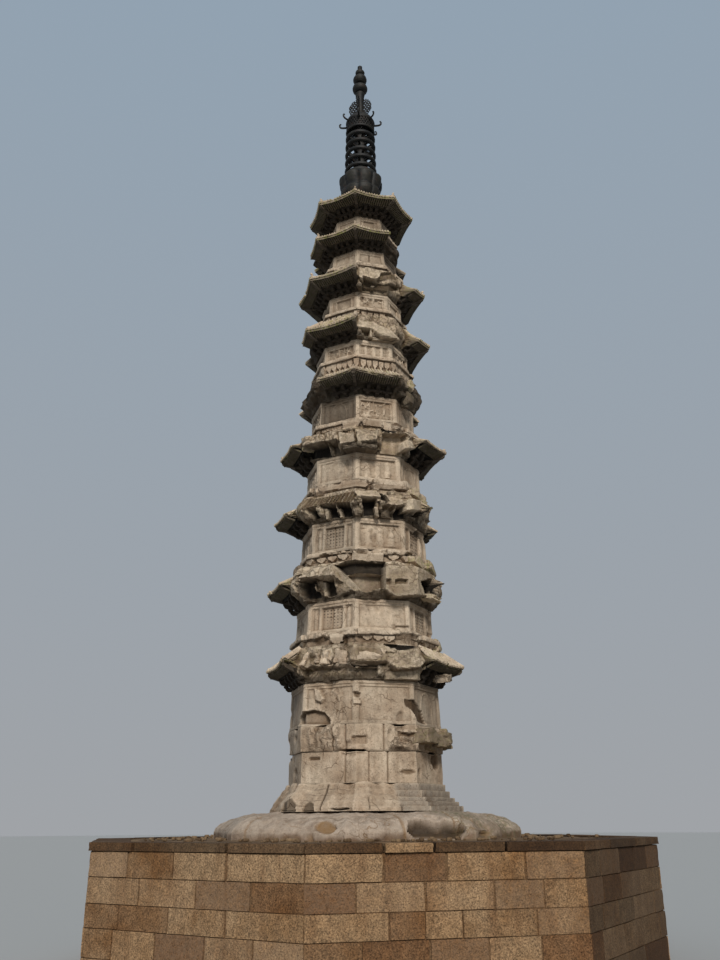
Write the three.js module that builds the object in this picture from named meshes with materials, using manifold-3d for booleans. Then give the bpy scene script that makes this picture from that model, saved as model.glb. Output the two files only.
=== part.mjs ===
// Nine-storey octagonal stone pagoda on a masonry platform, in millimetres, +Z up.
// The origin is the bottom centre of the platform, and a face of the octagon looks along -Y.
import * as THREE from 'three';
import { mergeVertices } from 'three/addons/utils/BufferGeometryUtils.js';
import Module from 'manifold-3d';

const wasm = await Module();
wasm.setup();

// Driving dimensions of the octagon and the platform. Azimuth 0 is -Y and grows towards +X.
const SIDES = 8;
const SIDE_ANGLE = 360 / SIDES;
const FIRST_CORNER = SIDE_ANGLE / 2;
const PLATFORM_TURN = -2.5;
const PLATFORM_HEIGHT = 1500;
const PLATFORM_RADIUS = 3950;
const PLATFORM_WALL = 420;
const COPING_HEIGHT = 100;
const COPING_OVERHANG = 35;
const COPING_WIDTH = 480;

// Heights of the foot of the tower above the top of the platform, from the photograph.
const SLAB_TOP = 340;
const STEPPED_BASE_TOP = 680;
const WAIST_TOP = 1090;
const TOWER_FOOT = 1440;
const SLAB_RADIUS = 2190;
const WAIST_RADIUS = 1112;
const TOP_COURSE_RADIUS = 1135;
const LEFTOVER = { azimuths: [48, 90], reach: 1240, width: 520, low: 1150, high: 1390 };
const SLAB_OUTLINE = [
  { radius: SLAB_RADIUS, height: 0 },
  { radius: SLAB_RADIUS, height: 150 },
  { radius: 2110, height: 215 },
  { radius: 1850, height: SLAB_TOP },
];
const STEPS = [
  { radius: 1385, top: 395 },
  { radius: 1325, top: 450 },
  { radius: 1270, top: 505 },
  { radius: 1205, top: 590 },
  { radius: 1145, top: STEPPED_BASE_TOP },
];

// One row for each storey: the wall's foot, its top, its corner radii, the tips of the eaves,
// the corner radius and height of the roof where the next balcony stands on it.
const STOREYS = [
  { foot: 1440, top: 2020, low: 1112, high: 1080, tip: 1475, tipTop: 2320, deck: 1170, deckTop: 2520 },
  { foot: 2720, top: 3175, low: 1042, high: 1019, tip: 1500, tipTop: 3517, deck: 1110, deckTop: 3720 },
  { foot: 3923, top: 4410, low: 980, high: 962, tip: 1425, tipTop: 4650, deck: 1050, deckTop: 4840 },
  { foot: 5041, top: 5473, low: 914, high: 900, tip: 1356, tipTop: 5770, deck: 980, deckTop: 5900 },
  { foot: 6062, top: 6488, low: 850, high: 835, tip: 1250, tipTop: 6760, deck: 905, deckTop: 6940 },
  { foot: 7225, top: 7525, low: 776, high: 765, tip: 1155, tipTop: 7745, deck: 830, deckTop: 7990 },
  { foot: 8174, top: 8487, low: 686, high: 675, tip: 1100, tipTop: 8755, deck: 755, deckTop: 8940 },
  { foot: 9098, top: 9388, low: 645, high: 593, tip: 985, tipTop: 9625, deck: 670, deckTop: 9730 },
  { foot: 9850, top: 10137, low: 560, high: 526, tip: 930, tipTop: 10395, deck: 380, deckTop: 10710 },
];

// Rules that every storey follows.
const TILE_EDGE = 60;
const CORNER_RISE = 18;
const CORNER_SWEEP = 0.03;
const SOFFIT_RISE = 0.55;
const BEND_REACH_SHARE = 0.45;
const BEND_RISE_SHARE = 0.4;
const BRACKET_SHOULDER_SHARE = 0.4;
const BRACKET_HEIGHT_SHARE = 0.85;
const BRACKET_REACH_SHARE = 0.62;
const BRACKET_WIDTH = 120;
const BRACKET_SEAT = 10;
const BRACKET_ROOT = 0.8;
const BALCONY_OVERHANG = 100;
const BALCONY_SLAB = 70;
const BALCONY_BAND_OVERHANG = 55;
const BALCONY_CHAMFER = 12;
const PILASTER_WIDTH = 110;
const PILASTER_PROUD = 16;
const STATIONS_PER_SIDE = 4;

// Recesses carved in the walls. Doorways are on the sides between the four main ones, which
// have a plain panel. The shares are of the wall's side and of its height.
const DOORWAY = { width: 0.4, foot: 0.04, head: 0.86, arch: 0.3, depth: 28 };
const PANEL = { width: 0.56, foot: 0.12, head: 0.8, arch: 0, depth: 16 };
const ARCH_STEPS = 6;
const CUT_REACH = 200;

// What is broken away, by azimuth in degrees: keep is the share of the overhang that is left.
const BROKEN_EAVES = {
  1: [{ from: -80, to: 38, keep: 0.42 }, { from: 140, to: 172, keep: 0.55 }],
  2: [{ from: -80, to: 48, keep: 0.4 }, { from: 49, to: 100, keep: 0.55 }],
  3: [
    { from: -75, to: -60, keep: 0.75 },
    { from: -12, to: 38, keep: 0.55 },
    { from: 39, to: 90, keep: 0.42 },
  ],
  4: [{ from: -80, to: 38, keep: 0.42 }, { from: 150, to: 175, keep: 0.5 }],
  5: [{ from: -125, to: -75, keep: 0.58 }, { from: 30, to: 110, keep: 0.45 }],
  6: [{ from: -125, to: -95, keep: 0.6 }, { from: -22, to: 48, keep: 0.48 }],
  7: [{ from: -22, to: 50, keep: 0.5 }, { from: 140, to: 160, keep: 0.6 }],
  8: [{ from: -125, to: -100, keep: 0.78 }, { from: 12, to: 100, keep: 0.48 }],
  9: [],
};

// The cast-iron finial, with heights above the top of the platform.
const BOWL_OUTLINE = [
  { radius: 290, height: 10710 },
  { radius: 310, height: 10950 },
  { radius: 345, height: 11060 },
  { radius: 398, height: 11205 },
  { radius: 398, height: 11255 },
  { radius: 345, height: 11290 },
  { radius: 338, height: 11340 },
];
const DOME_OUTLINE = [
  { radius: 300, height: 11340 },
  { radius: 280, height: 11365 },
  { radius: 165, height: 11390 },
];
const BOWL_SIDES = 24;
const MAST_RADIUS = 95;
const MAST_FOOT = 11390;
const MAST_SIDES = 12;
const RINGS = { count: 5, sides: 16, first: 11500, step: 190, height: 62, bottom: 296, top: 272, width: 100 };
const SPOKE = { width: 44, height: 34, lift: 30, seat: 20 };
const CANOPY_SIDES = 16;
const CANOPY_OUTLINE = [
  { radius: MAST_RADIUS, height: 12440 },
  { radius: 235, height: 12455 },
  { radius: 268, height: 12490 },
  { radius: 270, height: 12640 },
  { radius: 215, height: 12700 },
  { radius: 200, height: 12760 },
  { radius: MAST_RADIUS, height: 12830 },
];
const CANOPY_FOOT = CANOPY_OUTLINE[0].height;
const CANOPY_TOP = CANOPY_OUTLINE[CANOPY_OUTLINE.length - 1].height;
const HOOKS = { count: 8, root: 200, reach: 410, width: 28, armLow: 12615, armHigh: 12643 };
const HOOK_UPTURN = { width: 34, top: 12725 };
const DISC = { centre: 13080, radius: 235, thickness: 30, lobes: 14, lobe: 0.08, turn: 59 };
const POINTS_PER_LOBE = 4;
const DISC_HOLE = { out: 158, halfWidth: 32, halfHeight: 66 };
const SPIRE = {
  foot: 13325,
  beads: [
    { centre: 13545, radius: 146, half: 110 },
    { centre: 13774, radius: 132, half: 110 },
    { centre: 13953, radius: 88, half: 66 },
    { centre: 14068, radius: 45, half: 42 },
  ],
  tip: 14120,
  neck: 40,
  sides: 16,
};

const whiteStone = new THREE.MeshStandardMaterial({ color: 0xbba98f, roughness: 0.9, metalness: 0 });
const restoredStone = new THREE.MeshStandardMaterial({ color: 0x9d9182, roughness: 0.88, metalness: 0 });
const platformStone = new THREE.MeshStandardMaterial({ color: 0x9f7d57, roughness: 0.92, metalness: 0 });
const platformFill = new THREE.MeshStandardMaterial({ color: 0x6b553b, roughness: 1, metalness: 0 });
const castIron = new THREE.MeshStandardMaterial({ color: 0x1d1c19, roughness: 0.65, metalness: 0.6 });

const pagoda = new THREE.Group();

// Shapes as rings of points around the axis.
function polar(radius, azimuth, z) {
  const angle = THREE.MathUtils.degToRad(azimuth);
  return new THREE.Vector3(radius * Math.sin(angle), -radius * Math.cos(angle), z);
}

function geometryFrom(points, faces) {
  const geometry = new THREE.BufferGeometry();
  const positions = points.flatMap((p) => [p.x, p.y, p.z]);
  geometry.setAttribute('position', new THREE.Float32BufferAttribute(positions, 3));
  geometry.setIndex(faces.flat());
  return geometry;
}

// A closed body from rings that all have the same number of points, from the bottom up.
// A tube's rings close on themselves, and any other stack gets a flat lid at each end.
function stack(rings, isTube = false) {
  const count = rings[0].length;
  const points = rings.flat();
  const faces = [];
  const bands = isTube ? rings.length : rings.length - 1;
  for (let row = 0; row < bands; row += 1) {
    const upper = (row + 1) % rings.length;
    for (let i = 0; i < count; i += 1) {
      const next = (i + 1) % count;
      const [a, b] = [row * count + i, row * count + next];
      const [c, d] = [upper * count + next, upper * count + i];
      faces.push([a, b, c], [a, c, d]);
    }
  }
  if (!isTube) {
    const last = (rings.length - 1) * count;
    const middles = [rings[0], rings[rings.length - 1]].map((ring) => {
      const centre = ring.reduce((sum, p) => sum.add(p), new THREE.Vector3()).divideScalar(count);
      return points.push(centre) - 1;
    });
    for (let i = 0; i < count; i += 1) {
      const next = (i + 1) % count;
      faces.push([middles[0], next, i], [middles[1], last + i, last + next]);
    }
  }
  return geometryFrom(points, faces);
}

function octagonRing(radius, z, turn = 0) {
  return Array.from({ length: SIDES }, (_, k) => polar(radius, FIRST_CORNER + turn + k * SIDE_ANGLE, z));
}

function roundRing(radius, z, count, turn = 0) {
  return Array.from({ length: count }, (_, k) => polar(radius, turn + (k * 360) / count, z));
}

// Booleans.
function solid(geometry) {
  const bare = geometry.clone();
  bare.deleteAttribute('normal');
  bare.deleteAttribute('uv');
  const merged = mergeVertices(bare, 1e-3);
  return new wasm.Manifold(new wasm.Mesh({
    numProp: 3,
    vertProperties: new Float32Array(merged.attributes.position.array),
    triVerts: new Uint32Array(merged.index.array),
  }));
}

function fromSolid(body) {
  const mesh = body.getMesh();
  const geometry = new THREE.BufferGeometry();
  geometry.setAttribute('position', new THREE.Float32BufferAttribute(mesh.vertProperties, 3));
  geometry.setIndex(Array.from(mesh.triVerts));
  return geometry;
}

function joined(geometries) {
  return fromSolid(geometries.map(solid).reduce((whole, piece) => whole.add(piece)));
}

// A plate that stands on edge and runs outwards from the axis at an azimuth. Its outline is a
// list of radius and height pairs, anticlockwise as seen with the axis on the left.
function radialPlate(azimuth, outline, width) {
  const shape = new THREE.Shape(outline.map(([radius, z]) => new THREE.Vector2(radius, z)));
  const plate = new THREE.ExtrudeGeometry(shape, { depth: width, bevelEnabled: false });
  plate.translate(0, 0, -width / 2);
  plate.rotateX(Math.PI / 2);
  plate.rotateZ(THREE.MathUtils.degToRad(azimuth - 90));
  return plate;
}

function radialBlock(azimuth, inner, outer, width, low, high) {
  return radialPlate(azimuth, [[inner, low], [outer, low], [outer, high], [inner, high]], width);
}

function addPiece(name, geometry, material, lift = PLATFORM_HEIGHT) {
  const mesh = new THREE.Mesh(geometry, material);
  mesh.name = name;
  mesh.position.z = lift;
  pagoda.add(mesh);
}

// The platform: rubble fill, the retaining wall round it and the coping on the wall.
function buildPlatform() {
  const wallTop = PLATFORM_HEIGHT - COPING_HEIGHT;
  const inner = PLATFORM_RADIUS - PLATFORM_WALL;
  const copingOuter = PLATFORM_RADIUS + COPING_OVERHANG;
  const copingInner = copingOuter - COPING_WIDTH;
  const fill = [
    octagonRing(inner, 0, PLATFORM_TURN),
    octagonRing(inner, wallTop, PLATFORM_TURN),
    octagonRing(copingInner, wallTop, PLATFORM_TURN),
    octagonRing(copingInner, PLATFORM_HEIGHT, PLATFORM_TURN),
  ];
  addPiece('platform_fill', stack(fill), platformFill, 0);
  addPiece('platform_wall', octagonTube(PLATFORM_RADIUS, inner, 0, wallTop), platformStone, 0);
  const coping = octagonTube(copingOuter, copingInner, wallTop, PLATFORM_HEIGHT);
  addPiece('platform_coping', coping, platformStone, 0);
}

function octagonTube(outer, inner, low, high) {
  const rings = [[outer, low], [outer, high], [inner, high], [inner, low]];
  return stack(rings.map(([radius, z]) => octagonRing(radius, z, PLATFORM_TURN)), true);
}

// The foot of the tower: a rock-like slab, a stepped base, a plain waist and a top course.
function buildFoot() {
  const slab = SLAB_OUTLINE.map(({ radius, height }) => octagonRing(radius, height));
  addPiece('base_slab', stack(slab), restoredStone);
  const steps = STEPS.flatMap(({ radius, top }, i) => {
    const low = i === 0 ? SLAB_TOP : STEPS[i - 1].top;
    return [octagonRing(radius, low), octagonRing(radius, top)];
  });
  addPiece('stepped_base', stack(steps), whiteStone);
  const waist = [octagonRing(WAIST_RADIUS, STEPPED_BASE_TOP), octagonRing(WAIST_RADIUS, WAIST_TOP)];
  addPiece('base_waist', stack(waist), whiteStone);
  addPiece('base_top_course', topCourse(), whiteStone);
}

// The top course keeps a projecting stone on its right side, where the rest has broken off.
function topCourse() {
  const course = stack([WAIST_TOP, TOWER_FOOT].map((z) => octagonRing(TOP_COURSE_RADIUS, z)));
  const { azimuths, reach, width, low, high } = LEFTOVER;
  const root = TOP_COURSE_RADIUS / 2;
  const stones = azimuths.map((azimuth) => radialBlock(azimuth, root, reach, width, low, high));
  return joined([course, ...stones]);
}

// A storey's wall: a tapering octagon with a flat pilaster on each corner and carved recesses.
function wallGeometry(storey) {
  const { foot, top, low, high } = storey;
  const drum = solid(stack([pilasterRing(low, foot), pilasterRing(high, top)]));
  const cuts = Array.from({ length: SIDES }, (_, side) => (
    recessGeometry(storey, side * SIDE_ANGLE, side % 2 ? DOORWAY : PANEL)
  ));
  return fromSolid(cuts.map(solid).reduce((wall, cut) => wall.subtract(cut), drum));
}

// The body to cut out of one side of a wall, with a round head where the recess has an arch.
function recessGeometry({ foot, top, high }, azimuth, recess) {
  const side = 2 * high * Math.sin(THREE.MathUtils.degToRad(FIRST_CORNER));
  const half = (side * recess.width) / 2;
  const low = THREE.MathUtils.lerp(foot, top, recess.foot);
  const head = THREE.MathUtils.lerp(foot, top, recess.head);
  const spring = head - (head - low) * recess.arch;
  const outline = [[-half, low], [half, low]];
  for (let i = 0; i <= ARCH_STEPS; i += 1) {
    const angle = (i * Math.PI) / ARCH_STEPS;
    outline.push([half * Math.cos(angle), spring + (head - spring) * Math.sin(angle)]);
  }
  const square = [[-half, low], [half, low], [half, head], [-half, head]];
  const points = recess.arch ? outline : square;
  const shape = new THREE.Shape(points.map(([across, z]) => new THREE.Vector2(across, z)));
  const cut = new THREE.ExtrudeGeometry(shape, { depth: CUT_REACH, bevelEnabled: false });
  const apothem = high * Math.cos(THREE.MathUtils.degToRad(FIRST_CORNER));
  cut.rotateX(Math.PI / 2);
  cut.translate(0, -(apothem - PILASTER_PROUD - recess.depth), 0);
  return cut.rotateZ(THREE.MathUtils.degToRad(azimuth));
}

function pilasterRing(radius, z) {
  const halfSide = radius * Math.sin(THREE.MathUtils.degToRad(FIRST_CORNER));
  const apothem = radius * Math.cos(THREE.MathUtils.degToRad(FIRST_CORNER)) - PILASTER_PROUD;
  const inset = halfSide - PILASTER_WIDTH / 2;
  const ring = [];
  for (let side = 0; side < SIDES; side += 1) {
    const azimuth = side * SIDE_ANGLE;
    const corner = polar(radius, azimuth - FIRST_CORNER, z);
    const outline = [[-inset, PILASTER_PROUD], [-inset, 0], [inset, 0], [inset, PILASTER_PROUD]];
    ring.push(corner, ...outline.map(([across, out]) => facePoint(azimuth, across, apothem + out, z)));
  }
  return ring;
}

function facePoint(azimuth, across, out, z) {
  const angle = THREE.MathUtils.degToRad(azimuth);
  const [sin, cos] = [Math.sin(angle), Math.cos(angle)];
  return new THREE.Vector3(out * sin + across * cos, -out * cos + across * sin, z);
}

// Overhang that is left at an azimuth, from the list of breaks.
function keepAt(level, azimuth) {
  const wrapped = THREE.MathUtils.euclideanModulo(azimuth + 180, 360) - 180;
  const hit = BROKEN_EAVES[level].find(({ from, to }) => wrapped >= from && wrapped <= to);
  return hit ? hit.keep : 1;
}

// The radius of a straight octagon side at an azimuth, as a share of its corner radius.
function octagonShare(azimuth) {
  const offset = THREE.MathUtils.euclideanModulo(azimuth, SIDE_ANGLE);
  const fromMiddle = Math.min(offset, SIDE_ANGLE - offset);
  return Math.cos(THREE.MathUtils.degToRad(FIRST_CORNER)) / Math.cos(THREE.MathUtils.degToRad(fromMiddle));
}

// How near an azimuth is to a corner: 0 at the middle of a side and 1 at a corner.
function cornerShare(azimuth) {
  const offset = THREE.MathUtils.euclideanModulo(azimuth, SIDE_ANGLE);
  return Math.min(offset, SIDE_ANGLE - offset) / FIRST_CORNER;
}

// A storey's eaves course: a soffit that flares out, the thick tile edge with raised corners,
// and the roof slope up to the next balcony, joined with the bracket sets under it.
function eavesGeometry(level, storey) {
  const { top, high, tip, tipTop, deck, deckTop } = storey;
  const bottomEdge = tipTop - TILE_EDGE - CORNER_RISE;
  const count = SIDES * STATIONS_PER_SIDE;
  const azimuths = Array.from({ length: count }, (_, i) => FIRST_CORNER + (i * 360) / count);
  const rows = azimuths.map((azimuth) => {
    const share = octagonShare(azimuth);
    const corner = cornerShare(azimuth) ** 2;
    const keep = keepAt(level, azimuth);
    const full = tip * share * (1 - CORNER_SWEEP * (1 - corner));
    const wall = high * share;
    const edge = wall + (full - wall) * keep;
    const neck = wall + (edge - wall) * BRACKET_REACH_SHARE;
    const rise = CORNER_RISE * corner * keep;
    const soffit = top + (bottomEdge - top) * SOFFIT_RISE;
    const ridge = deck * share;
    const edgeTop = bottomEdge + TILE_EDGE;
    const bend = Math.min(THREE.MathUtils.lerp(ridge, edge, BEND_REACH_SHARE), edge);
    return [
      [wall, top],
      [neck, soffit],
      [edge, bottomEdge + rise],
      [edge, edgeTop + rise],
      [bend, THREE.MathUtils.lerp(edgeTop, deckTop, BEND_RISE_SHARE)],
      [ridge, deckTop],
    ].map(([radius, z]) => polar(radius, azimuth, z));
  });
  const rings = rows[0].map((_, ringIndex) => rows.map((row) => row[ringIndex]));
  return joined([stack(rings), ...bracketBlocks(level, storey, bottomEdge)]);
}

function bracketBlocks(level, { top, high, tip }, bottomEdge) {
  const blocks = [];
  for (let k = 0; k < SIDES * 2; k += 1) {
    const azimuth = FIRST_CORNER + (k * SIDE_ANGLE) / 2;
    const share = octagonShare(azimuth);
    const wall = high * share;
    const reach = wall + (tip - high) * share * BRACKET_REACH_SHARE * keepAt(level, azimuth);
    const shoulder = top + (bottomEdge - top) * BRACKET_SHOULDER_SHARE;
    const peak = top + (bottomEdge - top) * BRACKET_HEIGHT_SHARE;
    const root = wall * BRACKET_ROOT;
    const seat = wall + BRACKET_SEAT;
    const outline = [[root, top], [seat, top], [reach, shoulder], [reach, peak], [root, peak]];
    blocks.push(radialPlate(azimuth, outline, BRACKET_WIDTH));
  }
  return blocks;
}

// A balcony: a band of carved brackets under a thin floor slab.
function balconyGeometry({ foot, low }, below) {
  const slab = foot - BALCONY_SLAB;
  const band = low + BALCONY_BAND_OVERHANG;
  const floor = low + BALCONY_OVERHANG;
  return stack([
    octagonRing(below.deck, below.deckTop),
    octagonRing(band, slab),
    octagonRing(floor, slab),
    octagonRing(floor, foot - BALCONY_CHAMFER),
    octagonRing(floor - BALCONY_CHAMFER, foot),
  ]);
}

function buildStoreys() {
  STOREYS.forEach((storey, i) => {
    const level = i + 1;
    if (i > 0) {
      addPiece(`storey_${level}_balcony`, balconyGeometry(storey, STOREYS[i - 1]), whiteStone);
    }
    addPiece(`storey_${level}_wall`, wallGeometry(storey), whiteStone);
    addPiece(`storey_${level}_eaves`, eavesGeometry(level, storey), whiteStone);
  });
}

// The iron finial from its lotus bowl to its tip.
function buildFinial() {
  const turned = (outline) => stack(
    outline.map(({ radius, height }) => roundRing(radius, height, BOWL_SIDES)),
  );
  addPiece('finial_bowl', turned(BOWL_OUTLINE), castIron);
  addPiece('finial_dome', turned(DOME_OUTLINE), castIron);
  addPiece('finial_rings', ringsGeometry(), castIron);
  addPiece('finial_canopy', canopyGeometry(), castIron);
  addPiece('finial_discs', discsGeometry(), castIron);
  addPiece('finial_spire', spireGeometry(), castIron);
}

// Five hoops on the mast, each on four spokes.
function ringsGeometry() {
  const mast = [MAST_FOOT, CANOPY_FOOT].map((z) => roundRing(MAST_RADIUS, z, MAST_SIDES));
  const pieces = [stack(mast)];
  for (let i = 0; i < RINGS.count; i += 1) {
    const outer = THREE.MathUtils.lerp(RINGS.bottom, RINGS.top, i / (RINGS.count - 1));
    const inner = outer - RINGS.width;
    const low = RINGS.first + i * RINGS.step;
    const high = low + RINGS.height;
    const outline = [[outer, low], [outer, high], [inner, high], [inner, low]];
    const turn = 180 / RINGS.sides;
    pieces.push(stack(outline.map(([radius, z]) => roundRing(radius, z, RINGS.sides, turn)), true));
    for (const azimuth of [0, 90]) {
      const spoke = new THREE.BoxGeometry(2 * (inner + SPOKE.seat), SPOKE.width, SPOKE.height);
      spoke.translate(0, 0, low + SPOKE.lift);
      spoke.rotateZ(THREE.MathUtils.degToRad(azimuth + (i % 2) * SIDE_ANGLE));
      pieces.push(spoke);
    }
  }
  return joined(pieces);
}

// The drum-shaped canopy with eight upturned hooks.
function canopyGeometry() {
  const { root, reach, width, armLow, armHigh } = HOOKS;
  const drum = CANOPY_OUTLINE.map(({ radius, height }) => roundRing(radius, height, CANOPY_SIDES));
  const pieces = [stack(drum)];
  for (let i = 0; i < HOOKS.count; i += 1) {
    const azimuth = FIRST_CORNER + i * SIDE_ANGLE;
    pieces.push(radialBlock(azimuth, root, reach, width, armLow, armHigh));
    pieces.push(radialBlock(azimuth, reach - HOOK_UPTURN.width, reach, width, armLow, HOOK_UPTURN.top));
  }
  return joined(pieces);
}

// Two pierced flame discs that cross at a right angle on the mast.
function discsGeometry() {
  const core = stack([CANOPY_TOP, SPIRE.foot].map((z) => roundRing(MAST_RADIUS, z, MAST_SIDES)));
  const outline = new THREE.Shape();
  const steps = DISC.lobes * POINTS_PER_LOBE;
  for (let i = 0; i < steps; i += 1) {
    const angle = (i * 2 * Math.PI) / steps;
    const radius = DISC.radius * (1 - DISC.lobe + DISC.lobe * Math.cos(angle * DISC.lobes));
    outline[i ? 'lineTo' : 'moveTo'](radius * Math.cos(angle), radius * Math.sin(angle));
  }
  for (const side of [-1, 1]) {
    const hole = new THREE.Path();
    hole.absellipse(side * DISC_HOLE.out, 0, DISC_HOLE.halfWidth, DISC_HOLE.halfHeight, 0, 2 * Math.PI, true);
    outline.holes.push(hole);
  }
  const options = { depth: DISC.thickness, bevelEnabled: false, curveSegments: 4 };
  const plate = new THREE.ExtrudeGeometry(outline, options);
  plate.translate(0, 0, -DISC.thickness / 2);
  plate.rotateX(Math.PI / 2);
  plate.translate(0, 0, DISC.centre);
  const crossing = plate.clone().rotateZ(Math.PI / 2);
  const turn = THREE.MathUtils.degToRad(DISC.turn - 90);
  return joined([core, plate.rotateZ(turn), crossing.rotateZ(turn)]);
}

// The beads at the top, in one turned outline.
function spireGeometry() {
  const outline = [new THREE.Vector2(0, SPIRE.foot), new THREE.Vector2(MAST_RADIUS, SPIRE.foot)];
  for (const { centre, radius, half } of SPIRE.beads) {
    for (const step of [-1, -0.6, 0, 0.6, 1]) {
      const swell = SPIRE.neck + (radius - SPIRE.neck) * Math.sqrt(1 - step * step);
      outline.push(new THREE.Vector2(swell, centre + step * half));
    }
  }
  outline.push(new THREE.Vector2(0, SPIRE.tip));
  const spire = new THREE.LatheGeometry(outline, SPIRE.sides);
  return spire.rotateX(Math.PI / 2);
}

buildPlatform();
buildFoot();
buildStoreys();
buildFinial();

export default pagoda;
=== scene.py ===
"""A nine-storey octagonal stone pagoda on its masonry platform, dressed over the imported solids.

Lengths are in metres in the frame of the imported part, with +Z up. Azimuth 0 is -Y and grows
towards +X. Heights of the tower are given above the top of the platform.
"""

import logging
import math
from dataclasses import dataclass, field
from enum import Enum
from typing import Iterable, Mapping, Sequence

import bmesh
import bpy
import numpy as np
from mathutils import Matrix, Vector


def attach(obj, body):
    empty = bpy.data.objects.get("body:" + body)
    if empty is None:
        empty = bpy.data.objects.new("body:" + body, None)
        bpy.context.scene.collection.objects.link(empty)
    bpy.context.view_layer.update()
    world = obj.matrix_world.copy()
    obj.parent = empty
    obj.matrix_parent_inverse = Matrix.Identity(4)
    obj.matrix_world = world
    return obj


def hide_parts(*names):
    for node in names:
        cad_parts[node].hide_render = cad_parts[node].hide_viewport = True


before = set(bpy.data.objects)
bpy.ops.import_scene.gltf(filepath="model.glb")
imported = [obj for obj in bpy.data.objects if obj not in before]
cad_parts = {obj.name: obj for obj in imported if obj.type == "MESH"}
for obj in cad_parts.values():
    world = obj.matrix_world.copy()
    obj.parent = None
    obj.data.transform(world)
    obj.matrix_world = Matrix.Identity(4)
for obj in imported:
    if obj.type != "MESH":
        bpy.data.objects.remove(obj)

LOG = logging.getLogger("pagoda")
PLATFORM_TOP = 1.5
SIDES = 8
SIDE_ANGLE = 45.0
HALF_SIDE = SIDE_ANGLE / 2
HALF_TURN = math.radians(HALF_SIDE)
SIDE_AZIMUTHS = range(0, 360, int(SIDE_ANGLE))
NEAR_SIDES = (0, 315)
SLANT_SIDES = (45, 270)
# Share of an overhang above which it counts as unbroken.
WHOLE = 0.97
# Rows of an unbroken eaves profile: outer soffit, foot and top of the tile edge, and where moss ends.
SOFFIT_ROW, EDGE_ROW, EDGE_TOP_ROW, MOSS_ROW = 15, 22, 28, 33
# Storeys up to these: large ones with deep breaks, ones with worn edges, with fine meshes, with the darker
# painted shade on the tile edge.
LARGE_LEVEL, WORN_LEVEL, FINE_LEVEL, SHADED_EDGE_LEVEL = 4, 5, 6, 7
BODY = "root"


# Noise and octagon rules.


class Noise:
    """Smooth seeded noise in three dimensions, the same on every run."""

    LATTICE = 64

    def __init__(self, seed: int) -> None:
        """Fill the lattice.

        Args:
            seed: The number that fixes the noise.
        """
        self.table = np.random.default_rng(seed).random((self.LATTICE,) * 3) * 2 - 1

    def value(self, points: np.ndarray, size: float) -> np.ndarray:
        """Noise between -1 and 1.

        Args:
            points: Positions, with x, y and z along the last axis.
            size: Distance between the bumps.

        Returns:
            One number for each position.
        """
        scaled = points / size + 17.3
        base = np.floor(scaled).astype(int)
        part = scaled - base
        part = part * part * (3 - 2 * part)
        total = np.zeros(points.shape[:-1])
        for corner in range(8):
            step = np.array([corner & 1, corner >> 1 & 1, corner >> 2 & 1])
            weight = np.prod(np.where(step, part, 1 - part), axis=-1)
            place = (base + step) % self.LATTICE
            total += weight * self.table[place[..., 0], place[..., 1], place[..., 2]]
        return total

    def fractal(self, points: np.ndarray, size: float, octaves: int = 3, gain: float = 0.5) -> np.ndarray:
        """Noise with smaller and smaller bumps added.

        Args:
            points: Positions, with x, y and z along the last axis.
            size: Distance between the largest bumps.
            octaves: How many sizes of bump.
            gain: Height of each size against the one before.

        Returns:
            One number for each position.
        """
        total = np.zeros(points.shape[:-1])
        for octave in range(octaves):
            total += gain**octave * self.value(points + 31.7 * octave, size / 2**octave)
        return total


ROUGH = Noise(7)
BLOCKY = Noise(23)


def smooth_step(low: float, high: float, value: np.ndarray) -> np.ndarray:
    """A smooth rise from 0 at low to 1 at high."""
    part = np.clip((value - low) / (high - low), 0, 1)
    return part * part * (3 - 2 * part)


def wrapped(azimuth: np.ndarray) -> np.ndarray:
    """Azimuths in degrees brought between -180 and 180."""
    return (azimuth + 180) % 360 - 180


def side_of(azimuth: np.ndarray) -> np.ndarray:
    """Azimuth of the middle of the side that each azimuth falls on, from 0 to 315."""
    return (np.round(azimuth / SIDE_ANGLE).astype(int) * int(SIDE_ANGLE)) % 360


def from_middle(azimuth: np.ndarray) -> np.ndarray:
    """Degrees from the middle of the side that each azimuth falls on."""
    return (azimuth + HALF_SIDE) % SIDE_ANGLE - HALF_SIDE


def octagon_share(azimuth: np.ndarray) -> np.ndarray:
    """Radius of a straight-sided octagon whose corner radius is 1."""
    return math.cos(HALF_TURN) / np.cos(np.radians(from_middle(azimuth)))


def corner_share(azimuth: np.ndarray) -> np.ndarray:
    """0 at the middle of a side and 1 at a corner."""
    return np.abs(from_middle(azimuth)) / HALF_SIDE


def across_side(azimuth: np.ndarray, corner_radius: float) -> np.ndarray:
    """Distance from the middle of a side, along it.

    Args:
        azimuth: Azimuths in degrees.
        corner_radius: Radius of the octagon at its corners.

    Returns:
        Metres, negative before the middle of the side.
    """
    return corner_radius * math.cos(HALF_TURN) * np.tan(np.radians(from_middle(azimuth)))


def station_azimuths(front: int, back: int) -> np.ndarray:
    """Azimuths of the columns of a course, closer together on the sides that face the front.

    Args:
        front: Columns on each of the two sides that face the front.
        back: Columns on each side at the back. The two sides between have the mean of both.

    Returns:
        Azimuths in degrees from -22.5 upwards.
    """
    stations = []
    for middle in SIDE_AZIMUTHS:
        count = front if middle in NEAR_SIDES else back
        if middle in SLANT_SIDES:
            count = (front + back) // 2
        along = np.linspace(-1, 1, count, endpoint=False)
        stations.append(middle + np.degrees(np.arctan(along * math.tan(HALF_TURN))))
    return np.concatenate(stations)


def polar(radius: np.ndarray, azimuth: np.ndarray, height: np.ndarray) -> np.ndarray:
    """Points from radius, azimuth in degrees and height above the platform's top."""
    angle = np.radians(azimuth)
    radius, angle, height = np.broadcast_arrays(radius, angle, height)
    return np.stack([radius * np.sin(angle), -radius * np.cos(angle), height + PLATFORM_TOP], axis=-1)


# Meshes.


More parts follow.
